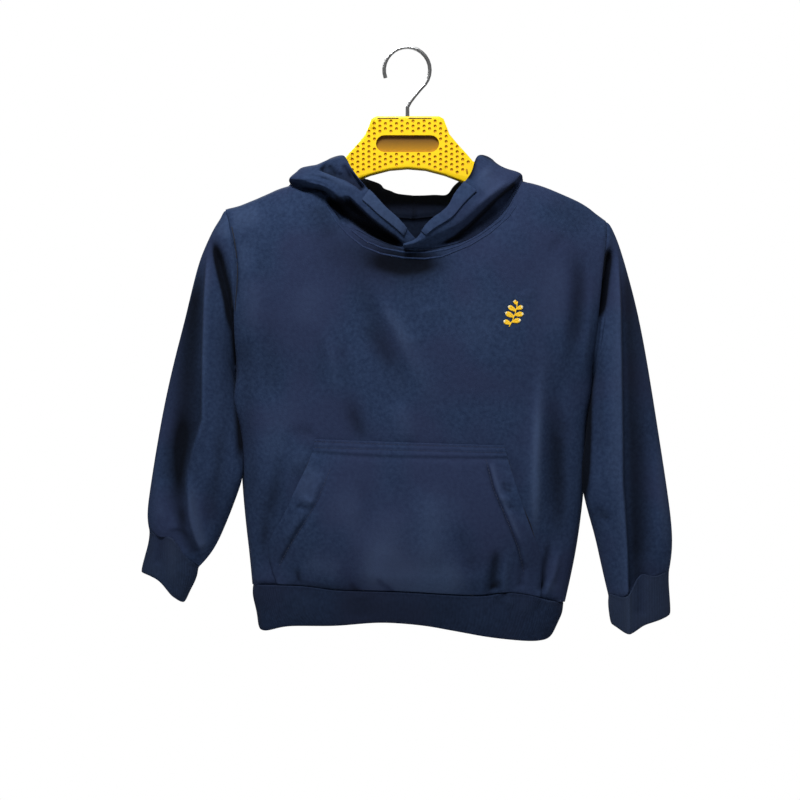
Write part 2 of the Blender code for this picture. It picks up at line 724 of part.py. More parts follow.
def pocket_place(u, v):
    low, high = POCKET[-1].z, POCKET[0].z
    level = low + (high - low) * v
    x = pocket_left(level) + (pocket_right(level) - pocket_left(level)) * u
    floor = hem_front(x) + POCKET_ABOVE_HEM - low
    z = level + floor * (1 - v) ** 2 + POCKET_TILT * (u - 0.5) * v**0.5
    sides = abs(2 * u - 1) ** POCKET_SQUARE
    puff = POCKET_PUFF * math.sin(math.pi * v) ** POCKET_ROUND * (1 - sides * (1 - pocket_open(level)))
    return Vector((x, panel_y("front", x, z) - SEAM_GAP / 2 - WALL - POCKET_GAP - puff, z))


# ---- Hood -------------------------------------------------------------------


def hood_foot(side, t):
    """Start of a section at the neckline, and the direction in which it runs on from there."""
    fade = max(0.0, 1 - t)
    half, level = side, t
    if side == "right":
        level = t - HOOD_OVERLAP * fade
    if level < 0:
        half, level = "left", -level
    rise = neck_rise(half, level)
    foot = neckline(half, level) + rise * TURN_GAP
    foot.y += (HOOD_UNDER if side == "left" else -HOOD_OVER) * fade
    return foot, rise


def hood_surface(side):
    """Surface of one hood half: from centre front to centre back, and from seam to rim."""
    table = HOOD_LEFT if side == "left" else HOOD_RIGHT
    outward = -1 if side == "left" else 1
    roll = [Vector((row.roll_x, row.roll_y, row.roll_z)) for row in table]
    rim = [Vector((row.rim_x, row.rim_y, row.rim_z)) for row in table]
    shape = [Vector((row.tuck, row.sag, row.spread)) for row in table]
    last = len(table) - 1

    def place(t, step):
        foot, rise = hood_foot(side, t)
        tuck, sag, spread = along(shape, t)
        over, end = along(roll, t), along(rim, t)
        lead = foot + rise * min(HOOD_LEAD, 0.3 * (over - foot).length)
        hollow = lead.lerp(over, 0.5) + Vector((0, tuck, 0))
        middle = over.lerp(end, 0.5)
        back = max(0.0, POUCH_CLEAR - middle.y) * min(sag / 60, 1.0)
        down = Vector((spread, back, -sag))
        bulge = Vector((0, -HOOD_BULGE * max(0.0, 1 - sag / 15) * min(1.0, max(0.0, -end.y) / 20), 0))
        if side == "left":
            bulge *= min(t, 1.0)
        points = [
            foot,
            lead,
            hollow,
            over,
            over.lerp(end, 0.25) + down * 0.55 + bulge * 0.7,
            middle + down + bulge,
            over.lerp(end, 0.85) + down * 0.5 + bulge * 0.5 + Vector((0, 0.06 * sag, 0)),
            end,
        ]
        point = along(points, step)
        if t > last - 1e-6:
            point.x = roll[last].x
        point.x += outward * SEAM_GAP / 2
        return point

    return place


def hood_step(v):
    return HOOD_STEPS[round(v * (len(HOOD_STEPS) - 1))]


def build_hood(side):
    surface = hood_surface(side)
    last_stop = len(NECK_STOPS) - 1

    def seams(u, v):
        runs = []
        if u == 1:
            runs.append(Vector((1, 0, 0)))
        if v == 0:
            runs.append(hood_foot(side, NECK_STOPS[round(u * last_stop)])[1])
        return runs

    def place(u, v):
        return surface(NECK_STOPS[round(u * last_stop)], hood_step(v))

    turned = side == "left"
    steps = (last_stop, len(HOOD_STEPS) - 1)
    sheet("hood_" + side, steps, place, fleece, WALL, seams, inside_out=turned)
    first, last = STRIP_COLUMNS[side]
    low, high = STRIP_ROWS

    def strip_place(u, v):
        t = NECK_STOPS[round(first + (last - first) * u)]
        step = HOOD_STEPS[round(low + (high - low) * v)]
        point = surface(t, step)
        side_step = surface(t + NECK_STEP, step) - surface(t - NECK_STEP, step)
        up_step = surface(t, min(step + 0.1, HOOD_STEPS[-1])) - surface(t, step - 0.1)
        normal = side_step.cross(up_step).normalized()
        if normal.y > 0:
            normal = -normal
        return point + normal * (STRIP_WALL + POCKET_GAP)

    name = "hood_strip_" + side
    sheet(name, (last - first, high - low), strip_place, fleece, STRIP_WALL, inside_out=turned)


# ---- Hanger -----------------------------------------------------------------


def hanger_half(sign):
    """Outline points of one half of the hanger, from the top of the head to under the arch."""
    points = [Vector((sign * p.x, p.z)) for p in HEAD_HALF]
    points.append(Vector((sign * ARM_ROOT.x, ARM_ROOT.z)))
    for reach in ARM_TOP_X:
        cloth = top_z["front"](sign * max(reach, 118) + HANGER_MIDDLE)
        points.append(Vector((sign * reach, cloth - WALL - ARM_CLEARANCE)))
    points.append(Vector((sign * ARM_TIP.x, ARM_TIP.z)))
    points += [Vector((sign * p.x, p.z)) for p in ARM_UNDER]
    return points


def build_hanger():
    right = hanger_half(1)
    left = list(reversed(hanger_half(-1)))
    outline = right + [Vector((0, ARCH_TOP))] + left
    bm = bmesh.new()
    verts = [bm.verts.new(Vector((p.x + HANGER_MIDDLE, -HANGER_THICK / 2, p.y)) * MM) for p in outline]
    face = bm.faces.new(verts)
    bmesh.ops.recalc_face_normals(bm, faces=[face])
    if face.normal.y > 0:
        face.normal_flip()
    made = bmesh.ops.extrude_face_region(bm, geom=[face])
    moved = [item for item in made["geom"] if isinstance(item, bmesh.types.BMVert)]
    bmesh.ops.translate(bm, verts=moved, vec=Vector((0, HANGER_THICK, 0)) * MM)
    bmesh.ops.recalc_face_normals(bm, faces=bm.faces)
    mesh = bpy.data.meshes.new("hanger")
    bm.to_mesh(mesh)
    bm.free()
    hanger = add_object("hanger", mesh, plastic)
    edges = hanger.modifiers.new("Edges", "BEVEL")
    edges.width = HANGER_EDGE * MM
    edges.segments = 2
    edges.limit_method = "ANGLE"
    edges.angle_limit = math.radians(60)

    cutter = recess_cutter()
    cut = hanger.modifiers.new("Recess", "BOOLEAN")
    cut.object = cutter
    mesh.set_sharp_from_angle(angle=math.radians(40))


def recess_cutter():
    """Stadium-shaped plug that sinks the recess into the front of the head."""
    bm = bmesh.new()
    radius = RECESS_HEIGHT / 2
    straight = RECESS_LENGTH / 2 - radius
    ends = 8
    verts = []
    for centre, start in ((straight, -90), (-straight, 90)):
        for step in range(ends + 1):
            angle = math.radians(start + 180 * step / ends)
            x = HANGER_MIDDLE + centre + radius * math.cos(angle)
            z = RECESS_Z + radius * math.sin(angle)
            verts.append(bm.verts.new(Vector((x, -HANGER_THICK, z)) * MM))
    face = bm.faces.new(verts)
    made = bmesh.ops.extrude_face_region(bm, geom=[face])
    moved = [item for item in made["geom"] if isinstance(item, bmesh.types.BMVert)]
    reach = HANGER_THICK / 2 + RECESS_DEPTH
    bmesh.ops.translate(bm, verts=moved, vec=Vector((0, reach, 0)) * MM)
    bmesh.ops.recalc_face_normals(bm, faces=bm.faces)
    mesh = bpy.data.meshes.new("recess_cutter")
    bm.to_mesh(mesh)
    bm.free()
    cutter = bpy.data.objects.new("recess_cutter", mesh)
    cutters.objects.link(cutter)
    cutter.hide_render = True
    cutter.display_type = "WIRE"
    return cutter


def build_hook():
    """Wire from the head up into a round hook that is open to the left."""
    radius = HOOK_BORE + HOOK_WIRE
    centre_z = -HOOK_BORE
    points = []
    steps = 20
    for step in range(steps + 1):
        angle = math.radians(HOOK_START + (HOOK_END - HOOK_START) * step / steps)
        points.append(Vector((radius * math.cos(angle), 0, centre_z + radius * math.sin(angle))))
    stem = Vector((HANGER_MIDDLE, 0, HOOK_STEM_TOP))
    tail = [points[-2], points[-1], stem, stem + Vector((0, 0, HEAD_TOP + SEAM_GAP - HOOK_STEM_TOP))]
    points += [along(tail, 1 + step / 4) for step in range(1, 4)] + tail[2:]
    data = bpy.data.curves.new("hook", "CURVE")
    data.dimensions = "3D"
    data.bevel_depth = HOOK_WIRE * MM
    data.bevel_resolution = 2
    data.use_fill_caps = True
    spline = data.splines.new("POLY")
    spline.points.add(len(points) - 1)
    for target, point in zip(spline.points, points):
        target.co = (*(point * MM), 1.0)
    add_object("hook", data, steel)


# ---- Assembly ---------------------------------------------------------------

for old in list(bpy.data.objects):
    bpy.data.objects.remove(old, do_unlink=True)

parts = bpy.data.collections.new("toddler hoodie on a hanger")
cutters = bpy.data.collections.new("cutters")
bpy.context.scene.collection.children.link(parts)
bpy.context.scene.collection.children.link(cutters)

fleece = make_material("fleece", *COLOURS["fleece"])
rib = make_material("rib", *COLOURS["rib"])
plastic = make_material("plastic", *COLOURS["plastic"])
steel = make_material("steel", *COLOURS["steel"])

columns = {
    "front": panel_columns("front", FRONT_SIDE_STEPS),
    "back": panel_columns("back", BACK_SIDE_STEPS),
}
band_steps = len(columns["front"][0]) + len(columns["back"][0]) - 2
build_panel("front", FRONT_ROWS)
build_panel("back", BACK_ROWS, inside_out=True)
sheet("pocket", POCKET_STEPS, pocket_place, fleece, WALL)
sheet("hem_band", (band_steps, 4), band_place, rib, BAND_WALL, band_seams, closed=True)
for side, sleeve, cuff, folds in (
    ("left", SLEEVE_LEFT, CUFF_LEFT, SLEEVE_FOLDS_LEFT),
    ("right", SLEEVE_RIGHT, CUFF_RIGHT, SLEEVE_FOLDS_RIGHT),
):
    build_tube("sleeve_" + side, side, sleeve, folds, SLEEVE_STEPS, WALL, fleece)
    build_tube("cuff_" + side, side, cuff, folds, CUFF_STEPS, BAND_WALL, rib, cuff_of=sleeve)
    build_hood(side)
build_hanger()
build_hook()
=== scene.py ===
import math

import bmesh
import bpy
import numpy as np
from mathutils import Matrix, Vector
from mathutils.bvhtree import BVHTree
from mathutils.kdtree import KDTree


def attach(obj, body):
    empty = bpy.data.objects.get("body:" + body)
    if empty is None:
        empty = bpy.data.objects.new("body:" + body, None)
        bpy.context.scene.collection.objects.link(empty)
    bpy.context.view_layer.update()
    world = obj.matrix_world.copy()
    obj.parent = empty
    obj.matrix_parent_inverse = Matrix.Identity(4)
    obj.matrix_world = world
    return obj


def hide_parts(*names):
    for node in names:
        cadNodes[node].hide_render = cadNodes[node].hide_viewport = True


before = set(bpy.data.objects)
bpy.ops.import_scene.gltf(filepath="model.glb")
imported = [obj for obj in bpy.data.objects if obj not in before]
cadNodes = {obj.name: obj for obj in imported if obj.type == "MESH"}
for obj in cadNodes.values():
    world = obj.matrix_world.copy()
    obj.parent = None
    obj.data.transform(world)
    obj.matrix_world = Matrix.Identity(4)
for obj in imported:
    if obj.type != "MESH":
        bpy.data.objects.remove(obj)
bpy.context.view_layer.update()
mm = 0.001

# The scene is in metres with +Z up; sizes in the settings are in millimetres.
# -Y is the front of the hoodie and the hook's bearing point is the origin.

print("camera")
cameraSet = {
    "distance": 1500,
    "aim": (-7, -351),  # x and z
    "frameWidth": 800,  # width seen at the hanger's plane
    "sensor": 36,
    "clipMetres": (0.05, 20),
}


def addObject(name, data):
    thing = bpy.data.objects.new(name, data)
    bpy.context.scene.collection.objects.link(thing)
    return thing


camera = addObject("camera", bpy.data.cameras.new("camera"))
aimX, aimZ = cameraSet["aim"]
camera.location = Vector((aimX, -cameraSet["distance"], aimZ)) * mm
camera.rotation_euler = (math.radians(90), 0, 0)
camera.data.sensor_width = cameraSet["sensor"]
camera.data.lens = cameraSet["sensor"] * cameraSet["distance"] / cameraSet["frameWidth"]
camera.data.clip_start, camera.data.clip_end = cameraSet["clipMetres"]
bpy.context.scene.camera = camera
bpy.context.scene.view_settings.view_transform = "Standard"


print("materials")


def toLinear(hexColour):
    channels = [int(hexColour[i:i + 2], 16) / 255 for i in (1, 3, 5)]
    return tuple(c / 12.92 if c <= 0.04045 else ((c + 0.055) / 1.055) ** 2.4 for c in channels) + (1.0,)


def addNode(tree, kind, values=None, links=None, **settings):
    node = tree.nodes.new(kind)
    for key, value in settings.items():
        setattr(node, key, value)
    for key, value in (values or {}).items():
        node.inputs[key].default_value = value
    for key, socket in (links or {}).items():
        tree.links.new(socket, node.inputs[key])
    return node


def newMaterial(name, values):
    material = bpy.data.materials.new(name)
    material.use_nodes = True
    tree = material.node_tree
    shader = tree.nodes["Principled BSDF"]
    for key, value in values.items():
        shader.inputs[key].default_value = value
    return material, tree, shader, addNode(tree, "ShaderNodeTexCoord").outputs["Object"]


def perMetre(sizeMm):
    return 1 / (sizeMm * mm)


# Cotton-rich fleece: the loops are brushed, so it scatters light softly and pales at its edges by its sheen;
# its lit places are also painted greyer, a painted highlight
fleeceLook = {
    "deep": "#1E2B45",
    "lit": "#283753",
    "violet": "#272D48",
    # painted highlight colour: lit places are mixed towards this grey
    "highlightGrey": "#2D384D",
    "sheenTint": "#8093BC",
    "mottleMm": 3.4,
    "patchMm": 70,
    "napMm": 1.3,  # real nap is finer; this is as coarse as it needs to be to show
    "napHeightMm": 0.35,
}


def makeKnit(name, look):
    material, tree, shader, place = newMaterial(name, {
        "Roughness": 0.93,
        "Specular IOR Level": 0.08,
        "Sheen Weight": 0.03,
        "Sheen Roughness": 0.45,
        "Sheen Tint": toLinear(look["sheenTint"]),
    })
    mottle, patch, nap = [
        addNode(tree, "ShaderNodeTexNoise", {"Scale": perMetre(look[size]), "Detail": detail},
                {"Vector": place}).outputs["Fac"]
        for size, detail in (("mottleMm", 3.0), ("patchMm", 1.0), ("napMm", 2.0))
    ]
    spread = addNode(tree, "ShaderNodeMapRange", {"From Min": 0.3, "From Max": 0.7}, {"Value": mottle})
    tint = addNode(tree, "ShaderNodeMapRange", {"From Min": 0.42, "From Max": 0.62, "To Max": 0.55},
                   {"Value": patch})
    cloth = addNode(tree, "ShaderNodeMix", {"A": toLinear(look["deep"]), "B": toLinear(look["lit"])},
                    {"Factor": spread.outputs["Result"]}, data_type="RGBA")
    shade = addNode(tree, "ShaderNodeMix", {"B": toLinear(look["violet"])},
                    {"Factor": tint.outputs["Result"], "A": cloth.outputs["Result"]}, data_type="RGBA")
    # painted shade in the hollows and painted light on the ridges and lit places, from the piece's shading
    # attribute
    paintedShading = addNode(tree, "ShaderNodeAttribute", attribute_name="paintedShading").outputs["Fac"]
    level = addNode(tree, "ShaderNodeMapRange",
                    {"From Min": -1.0, "From Max": 1.0, "To Min": 0.06, "To Max": 1.94}, {"Value": paintedShading})
    # and the painted highlights are greyer
    highlightGreying = addNode(tree, "ShaderNodeMapRange", {"From Max": 0.5, "To Max": 0.5}, {"Value": paintedShading})
    grey = addNode(tree, "ShaderNodeMix", {"B": toLinear(look["highlightGrey"])},
                   {"Factor": highlightGreying.outputs["Result"], "A": shade.outputs["Result"]}, data_type="RGBA")
    toned = addNode(tree, "ShaderNodeVectorMath", None,
                    {0: grey.outputs["Result"], "Scale": level.outputs["Result"]}, operation="SCALE")
    tree.links.new(toned.outputs["Vector"], shader.inputs["Base Color"])
    relief = addNode(tree, "ShaderNodeBump", {"Strength": 0.5, "Distance": look["napHeightMm"] * mm},
                     {"Height": nap})
    if "ribPitchMm" in look:
        around = addNode(tree, "ShaderNodeAttribute", attribute_name="ribRun").outputs["Fac"]
        turns = addNode(tree, "ShaderNodeMath", {1: 2 * math.pi * perMetre(look["ribPitchMm"])},
                        {0: around}, operation="MULTIPLY")
        rib = addNode(tree, "ShaderNodeMath", links={0: turns.outputs["Value"]}, operation="SINE")
        relief = addNode(tree, "ShaderNodeBump", {"Strength": 0.35, "Distance": look["ribHeightMm"] * mm},
                         {"Height": rib.outputs["Value"], "Normal": relief.outputs["Normal"]})
    tree.links.new(relief.outputs["Normal"], shader.inputs["Normal"])
    return material


fleece = makeKnit("brushed cotton fleece", fleeceLook)
# Rib knit of the bands: the same yarn, unbrushed, with upright ribs
ribLook = dict(fleeceLook, deep="#151F33", lit="#1C283F", violet="#1D2338", highlightGrey="#222A38",
               napMm=1.0, napHeightMm=0.2, ribPitchMm=2.6, ribHeightMm=0.3)
ribKnit = makeKnit("cotton rib knit", ribLook)

# Polyester and rayon thread: twisted and a little glossy
threadLook = {"navy": "#1A2440", "seamShadow": "#070B16", "yellow": "#F4C626", "cream": "#E9DDB0", "twistMm": 0.5}


def makeThread(name, colour):
    material, tree, shader, place = newMaterial(name, {
        "Base Color": toLinear(colour),
        "Roughness": 0.65,
        "Specular IOR Level": 0.25,
        "Sheen Weight": 0.1,
    })
    twist = addNode(tree, "ShaderNodeTexNoise", {"Scale": perMetre(threadLook["twistMm"]), "Detail": 1.0},
                    {"Vector": place})
    relief = addNode(tree, "ShaderNodeBump", {"Strength": 0.4, "Distance": 0.1 * mm},
                     {"Height": twist.outputs["Fac"]})
    tree.links.new(relief.outputs["Normal"], shader.inputs["Normal"])
    return material


navyThread = makeThread("polyester thread navy", threadLook["navy"])
# near-black cord for the seam lines: painted seam shadow
seamShadowThread = makeThread("seam cord black navy with painted seam shadow", threadLook["seamShadow"])
yellowThread = makeThread("rayon embroidery thread yellow", threadLook["yellow"])
creamThread = makeThread("rayon embroidery thread cream", threadLook["cream"])

# Injection-moulded polypropylene: satin, with a faint flow unevenness
plasticLook = {
    "yellow": "#FFD60A",
    # the dimples' colour is painted shade inside them
    "dimple": "#C48C00",
    # the recess colours are painted shade: darkest at the recess's top, lighter lower down
    "recess": "#5A3800",
    "recessLow": "#B07E00",
    "recessFade": (-89, -103),  # the heights between which the second colour takes over
    "flowMm": 14,
    "flowShade": 0.9,
    "grainMm": 0.8,
}


def makePlastic(name, colour, roughness, lowColour=None):
    material, tree, shader, place = newMaterial(name, {
        "Roughness": roughness, "Specular IOR Level": 0.3, "IOR": 1.49})
    flow = addNode(tree, "ShaderNodeTexNoise", {"Scale": perMetre(plasticLook["flowMm"]), "Detail": 2.0},
                   {"Vector": place})
    deep = tuple(c * plasticLook["flowShade"] for c in toLinear(colour)[:3]) + (1.0,)
    mix = addNode(tree, "ShaderNodeMix", {"A": deep, "B": toLinear(colour)},
                  {"Factor": flow.outputs["Fac"]}, data_type="RGBA")
    if lowColour:
        fromZ, toZ = plasticLook["recessFade"]
        height = addNode(tree, "ShaderNodeSeparateXYZ", links={"Vector": place}).outputs["Z"]
        fade = addNode(tree, "ShaderNodeMapRange", {"From Min": fromZ * mm, "From Max": toZ * mm},
                       {"Value": height})
        mix = addNode(tree, "ShaderNodeMix", {"B": toLinear(lowColour)},
                      {"Factor": fade.outputs["Result"], "A": mix.outputs["Result"]}, data_type="RGBA")
    tree.links.new(mix.outputs["Result"], shader.inputs["Base Color"])
    grain = addNode(tree, "ShaderNodeTexNoise", {"Scale": perMetre(plasticLook["grainMm"]), "Detail": 2.0},
                    {"Vector": place})
    relief = addNode(tree, "ShaderNodeBump", {"Strength": 0.15, "Distance": 0.05 * mm},
                     {"Height": grain.outputs["Fac"]})
    tree.links.new(relief.outputs["Normal"], shader.inputs["Normal"])
    return material


yellowPlastic = makePlastic("moulded polypropylene yellow", plasticLook["yellow"], roughness=0.38)
# painted shade for the recess floor, the groove and the slots
recessShadePlastic = makePlastic("moulded polypropylene matt recess with painted shade", plasticLook["recess"], roughness=0.6,
                            lowColour=plasticLook["recessLow"])
# painted shade inside the dimples
dimpleShadePlastic = makePlastic("moulded polypropylene dimple with painted shade", plasticLook["dimple"], roughness=0.5)

# Nickel-plated spring wire: bright, with fine drawing marks along it
steelLook = {"colour": "#B9BABB", "markMm": 1.2, "roughness": (0.22, 0.38)}


def makeSteel():
    material, tree, shader, place = newMaterial("nickel-plated steel wire", {
        "Base Color": toLinear(steelLook["colour"]), "Metallic": 1.0})
    marks = addNode(tree, "ShaderNodeTexNoise", {"Scale": perMetre(steelLook["markMm"]), "Detail": 3.0},
                    {"Vector": place})
    smoothest, roughest = steelLook["roughness"]
    rough = addNode(tree, "ShaderNodeMapRange", {"To Min": smoothest, "To Max": roughest},
                    {"Value": marks.outputs["Fac"]})
    tree.links.new(rough.outputs["Result"], shader.inputs["Roughness"])
    return material


steelWire = makeSteel()


print("cloth tools")
# A fold's row: its height, its width on the left and on the right, the share of its length that it
# fades in over and out over, then x and z of each point along it. Tones of painted light and shade have
# the same rows, with painted light (plus) or painted shade (minus) for the height.
# A pull's row: x and z of its middle, its reach in x and z, and its move in x and z. Two depths at
# the end keep it between them.


def smoothStep(value):
    value = np.clip(value, 0, 1)
    return value * value * (3 - 2 * value)


def foldHeight(x, z, folds):
    # each fold is a soft ridge or trough along its path
    total = np.zeros(len(x))
    for height, left, right, fadeIn, fadeOut, *path in folds:
        path = np.array(path, float).reshape(-1, 2)
        steps = np.diff(path, axis=0)
        lengths = np.linalg.norm(steps, axis=1)
        nearest, side, run = np.full(len(x), 1e9), np.zeros(len(x)), np.zeros(len(x))
        passed = 0.0
        for (startX, startZ), (stepX, stepZ), length in zip(path[:-1], steps, lengths):
            ux, uz = stepX / length, stepZ / length
            t = np.clip((x - startX) * ux + (z - startZ) * uz, 0, length)
            dx, dz = x - startX - t * ux, z - startZ - t * uz
            distance = np.hypot(dx, dz)
            closer = distance < nearest
            nearest = np.where(closer, distance, nearest)
            side = np.where(closer, ux * dz - uz * dx, side)
            run = np.where(closer, passed + t, run)
            passed += length
        width = np.where(side > 0, left, right)
        ends = 1.0
        if fadeIn:
            ends = ends * smoothStep(run / (fadeIn * passed))
        if fadeOut:
            ends = ends * smoothStep((passed - run) / (fadeOut * passed))
        total += height * np.exp(-((nearest / width) ** 2)) * ends
    return total


def bmeshOf(mesh):
    bm = bmesh.new()
    bm.from_mesh(mesh)
    return bm


def meshFrom(name, bm):
    mesh = bpy.data.meshes.new(name)
    bm.to_mesh(mesh)
    bm.free()
    return mesh


def bakedMesh(thing):
    return bpy.data.meshes.new_from_object(thing.evaluated_get(bpy.context.evaluated_depsgraph_get()))


rimSet = {"thickest": 3.6, "sharp": math.radians(45)}


def markRims(bm):
    # A cut edge is a strip of quads no wider than the cloth is thick, with a sharp turn on both sides
    rims, edges = set(), set()
    for face in bm.faces:
        if len(face.verts) != 4:
            continue
        a, b, c, d = face.edges
        for pair, link in (((a, c), (b, d)), ((b, d), (a, c))):
            sharp = all(e.calc_face_angle(0) > rimSet["sharp"] and e.is_convex for e in pair)
            if sharp and max(e.calc_length() for e in link) < rimSet["thickest"] * mm:
                rims.add(face)
                edges.update(pair)
    for face in rims:
        face.material_index = 1
        for edge in face.edges:
            if all(f in rims for f in edge.link_faces) and edge.calc_face_angle(0) > rimSet["sharp"]:
                edges.add(edge)
    return edges


seamSet = {
    "bulge": 0.22,  # half of a seam's gap and a little over, so that no light comes through it
    "bandBulge": 1.1,  # the bands' edges reach into the seam, behind the gathered cloth
    "dip": 1.3,
    "width": 2.0,
}
seamsOf = {}


def fillSeams(piece, bulge, softEdge):
    bm = bmeshOf(piece.data)
    bm.normal_update()
    rims = [v for v in bm.verts if any(f.material_index == 1 for f in v.link_faces)]
    inner = [v for v in rims if all(f.material_index == 1 for f in v.link_faces)]
    seamsOf[piece.name] = [v.co / mm for v in inner]
    sewn = [v for v in inner if not (softEdge and softEdge(v.co / mm))]
    for vert, move in [(v, v.normal * bulge * mm) for v in sewn]:
        vert.co += move
    for face in bm.faces:
        face.material_index = 0
    bm.to_mesh(piece.data)
    bm.free()


def clothPiece(nodeName, material, levels=2, softEdge=None, weldMm=0.01):
    bm = bmeshOf(cadNodes[nodeName].data)
    bmesh.ops.remove_doubles(bm, verts=bm.verts, dist=weldMm * mm)
    bmesh.ops.join_triangles(bm, faces=bm.faces, angle_face_threshold=math.pi,
                             angle_shape_threshold=math.pi, topology_influence=2.0)
    crease = bm.edges.layers.float.new("crease_edge")
    for edge in markRims(bm):
        middle = (edge.verts[0].co + edge.verts[1].co) / 2 / mm
        edge[crease] = 0.0 if softEdge and softEdge(middle) else 1.0
    piece = addObject(nodeName + "_cloth", meshFrom(nodeName + "_cloth", bm))
    rounding = piece.modifiers.new("Rounding", "SUBSURF")
    rounding.levels = rounding.render_levels = levels
    piece.data = bakedMesh(piece)
    piece.modifiers.clear()
    piece.data.name = piece.name
    fillSeams(piece, seamSet["bandBulge" if material is ribKnit else "bulge"], softEdge)
    piece.data.materials.clear()
    piece.data.materials.append(material)
    piece.data.shade_smooth()
    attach(piece, "root")
    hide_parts(nodeName)
    return piece


def spotsOf(piece):
    spots = np.empty(len(piece.data.vertices) * 3)
    piece.data.vertices.foreach_get("co", spots)
    return spots.reshape(-1, 3) / mm


def moveSpots(piece, spots):
    piece.data.vertices.foreach_set("co", (spots * mm).ravel())
    piece.data.update()


def seamDistance(piece, spots, freeFrom):
    seams = [p for p in seamsOf[piece.name] if not freeFrom(p)]
    tree = KDTree(len(seams))
    for i, place in enumerate(seams):
        tree.insert(place, i)
    tree.balance()
    return np.array([tree.find(spot)[2] for spot in spots])


paintedShadingSet = {
    "perMm": 0.085,
    "least": -0.95,
    "most": 0.8,
    "insideTurn": 2,  # how fast a face that looks inwards darkens
    "insideFrom": -6,  # depth from which it is inside, and over how far that fades
    "insideFade": 4,
}
frontRound = 9.0  # depth over which folds and tones die away round the sides


def addPaintedShading(piece, change):
    paintedTones = np.zeros(len(piece.data.vertices))
    attribute = piece.data.attributes.get("paintedShading")
    if attribute:
        attribute.data.foreach_get("value", paintedTones)
    else:
        attribute = piece.data.attributes.new("paintedShading", "FLOAT", "POINT")
    attribute.data.foreach_set("value", np.clip(paintedTones + change, paintedShadingSet["least"], paintedShadingSet["most"]))


def paintShading(piece, paintedTones, softY=frontRound):
    x, y, z = spotsOf(piece).T
    addPaintedShading(piece, np.clip(-y / softY, 0, 1) * foldHeight(x, z, paintedTones))


def paintInsideShade(piece, amount):
    # painted shade on faces that look inwards, seen through the neck opening
    normals = np.empty(len(piece.data.vertices) * 3)
    piece.data.vertices.foreach_get("normal", normals)
    inward = np.clip(-normals.reshape(-1, 3)[:, 1] * paintedShadingSet["insideTurn"], 0, 1)
    depth = (spotsOf(piece)[:, 1] - paintedShadingSet["insideFrom"]) / paintedShadingSet["insideFade"]
    addPaintedShading(piece, -amount * inward * np.clip(depth, 0, 1))


def pushOut(piece, frontFolds=(), backFolds=(), reach=0.0, freeFrom=lambda p: False,
            softY=frontRound, scale=1.0):
    # Heights are measured out of the front or the back, and die away round the sides. On a seam the
    # folds end, so that two sewn pieces keep meeting, and the cloth dips a little under its stitches.
    spots = spotsOf(piece)
    x, y, z = spots.T
    onFront = np.clip(-y / softY, 0, 1)
    onBack = np.clip(y / softY, 0, 1)
    move = onBack * foldHeight(x, z, backFolds) - onFront * foldHeight(x, z, frontFolds)
    if reach:
        away = seamDistance(piece, spots, freeFrom)
        move = move * smoothStep(away / reach) * scale
        move += (onFront - onBack) * seamSet["dip"] * np.exp(-((away / seamSet["width"]) ** 2))
    else:
        move = move * scale
    # the folds also paint shade into their hollows and light onto their ridges
    addPaintedShading(piece, (onBack - onFront) * move * paintedShadingSet["perMm"])
    spots[:, 1] += move
    moveSpots(piece, spots)


pullSet = {"depths": (-99, 999), "fade": 6}


def pullEdges(piece, pulls):
    # small sideways moves, alike for all the pieces that meet at a place
    spots = spotsOf(piece)
    for middleX, middleZ, reachX, reachZ, moveX, moveZ, *depths in pulls:
        fromY, toY = depths or pullSet["depths"]
        x, y, z = spots.T
        near = np.exp(-(((x - middleX) / reachX) ** 2) - ((z - middleZ) / reachZ) ** 2)
        for inside in (y - fromY, toY - y):
            near = near * np.clip(inside / pullSet["fade"], 0, 1)
        spots[:, 0] += moveX * near
        spots[:, 2] += moveZ * near
    moveSpots(piece, spots)


def treeOf(piece):
    bm = bmeshOf(piece.data)
    tree = BVHTree.FromBMesh(bm)
    bm.free()
    return tree


inFront = 400
toBack = Vector((0, 1, 0))


def castOn(trees, x, z):
    # where a line from the front first meets one of the pieces
    start = Vector((x, -inFront, z)) * mm
    hits = [tree.ray_cast(start, toBack) for tree in trees]
    return min((hit for hit in hits if hit[0] is not None), key=lambda hit: hit[3], default=None)


def resample(path, pitch):
    points = [Vector(point) for point in zip(path[::2], path[1::2])]
    spots, gap = [], 0.0
    for here, there in zip(points, points[1:]):
        length = (there - here).length
        along = gap
        while along < length:
            spots.append((here.lerp(there, along / length), (there - here).normalized()))
            along += pitch
        gap = along - length
    return spots


def pieceFrom(name, bm, material):
    mesh = meshFrom(name, bm)
    mesh.materials.append(material)
    mesh.shade_smooth()
    piece = addObject(name, mesh)
    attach(piece, "root")
    return piece


stitchSet = {"pitch": 3.2, "length": 2.5, "width": 0.55, "height": 0.4, "lift": 0.08}


def addStitch(bm, centre, tangent, normal, length, width, height):
    side = normal.cross(tangent).normalized()
    lift = tangent.cross(side).normalized()
    turn = Matrix((tangent, side, lift)).transposed().to_4x4()
    size = Matrix.Diagonal((length / 2, width / 2, height / 2, 1.0))
    endwise = Matrix.Rotation(math.pi / 2, 4, "Y")
    bmesh.ops.create_uvsphere(bm, u_segments=6, v_segments=5, radius=1.0,
                              matrix=Matrix.Translation(centre) @ turn @ size @ endwise)


def stitchRows(name, onto, rows, material):
    trees = [treeOf(piece) for piece in onto]
    bm = bmesh.new()
    for row in rows:
        for (x, z), (dx, dz) in resample(row, stitchSet["pitch"]):
            hit = castOn(trees, x, z)
            if not hit:
                continue
            spot, normal, _, _ = hit
            if normal.dot(toBack) > 0:
                normal = -normal
            tangent = Vector((dx, 0, dz))
            tangent = (tangent - normal * tangent.dot(normal)).normalized()
            addStitch(bm, spot + normal * stitchSet["lift"] * mm, tangent, normal,
                      *[stitchSet[size] * mm for size in ("length", "width", "height")])
    pieceFrom(name, bm, material)


cordSet = {"pitch": 2.0, "sink": 0.35, "tip": 0.3}  # sink and tip as shares of the radius


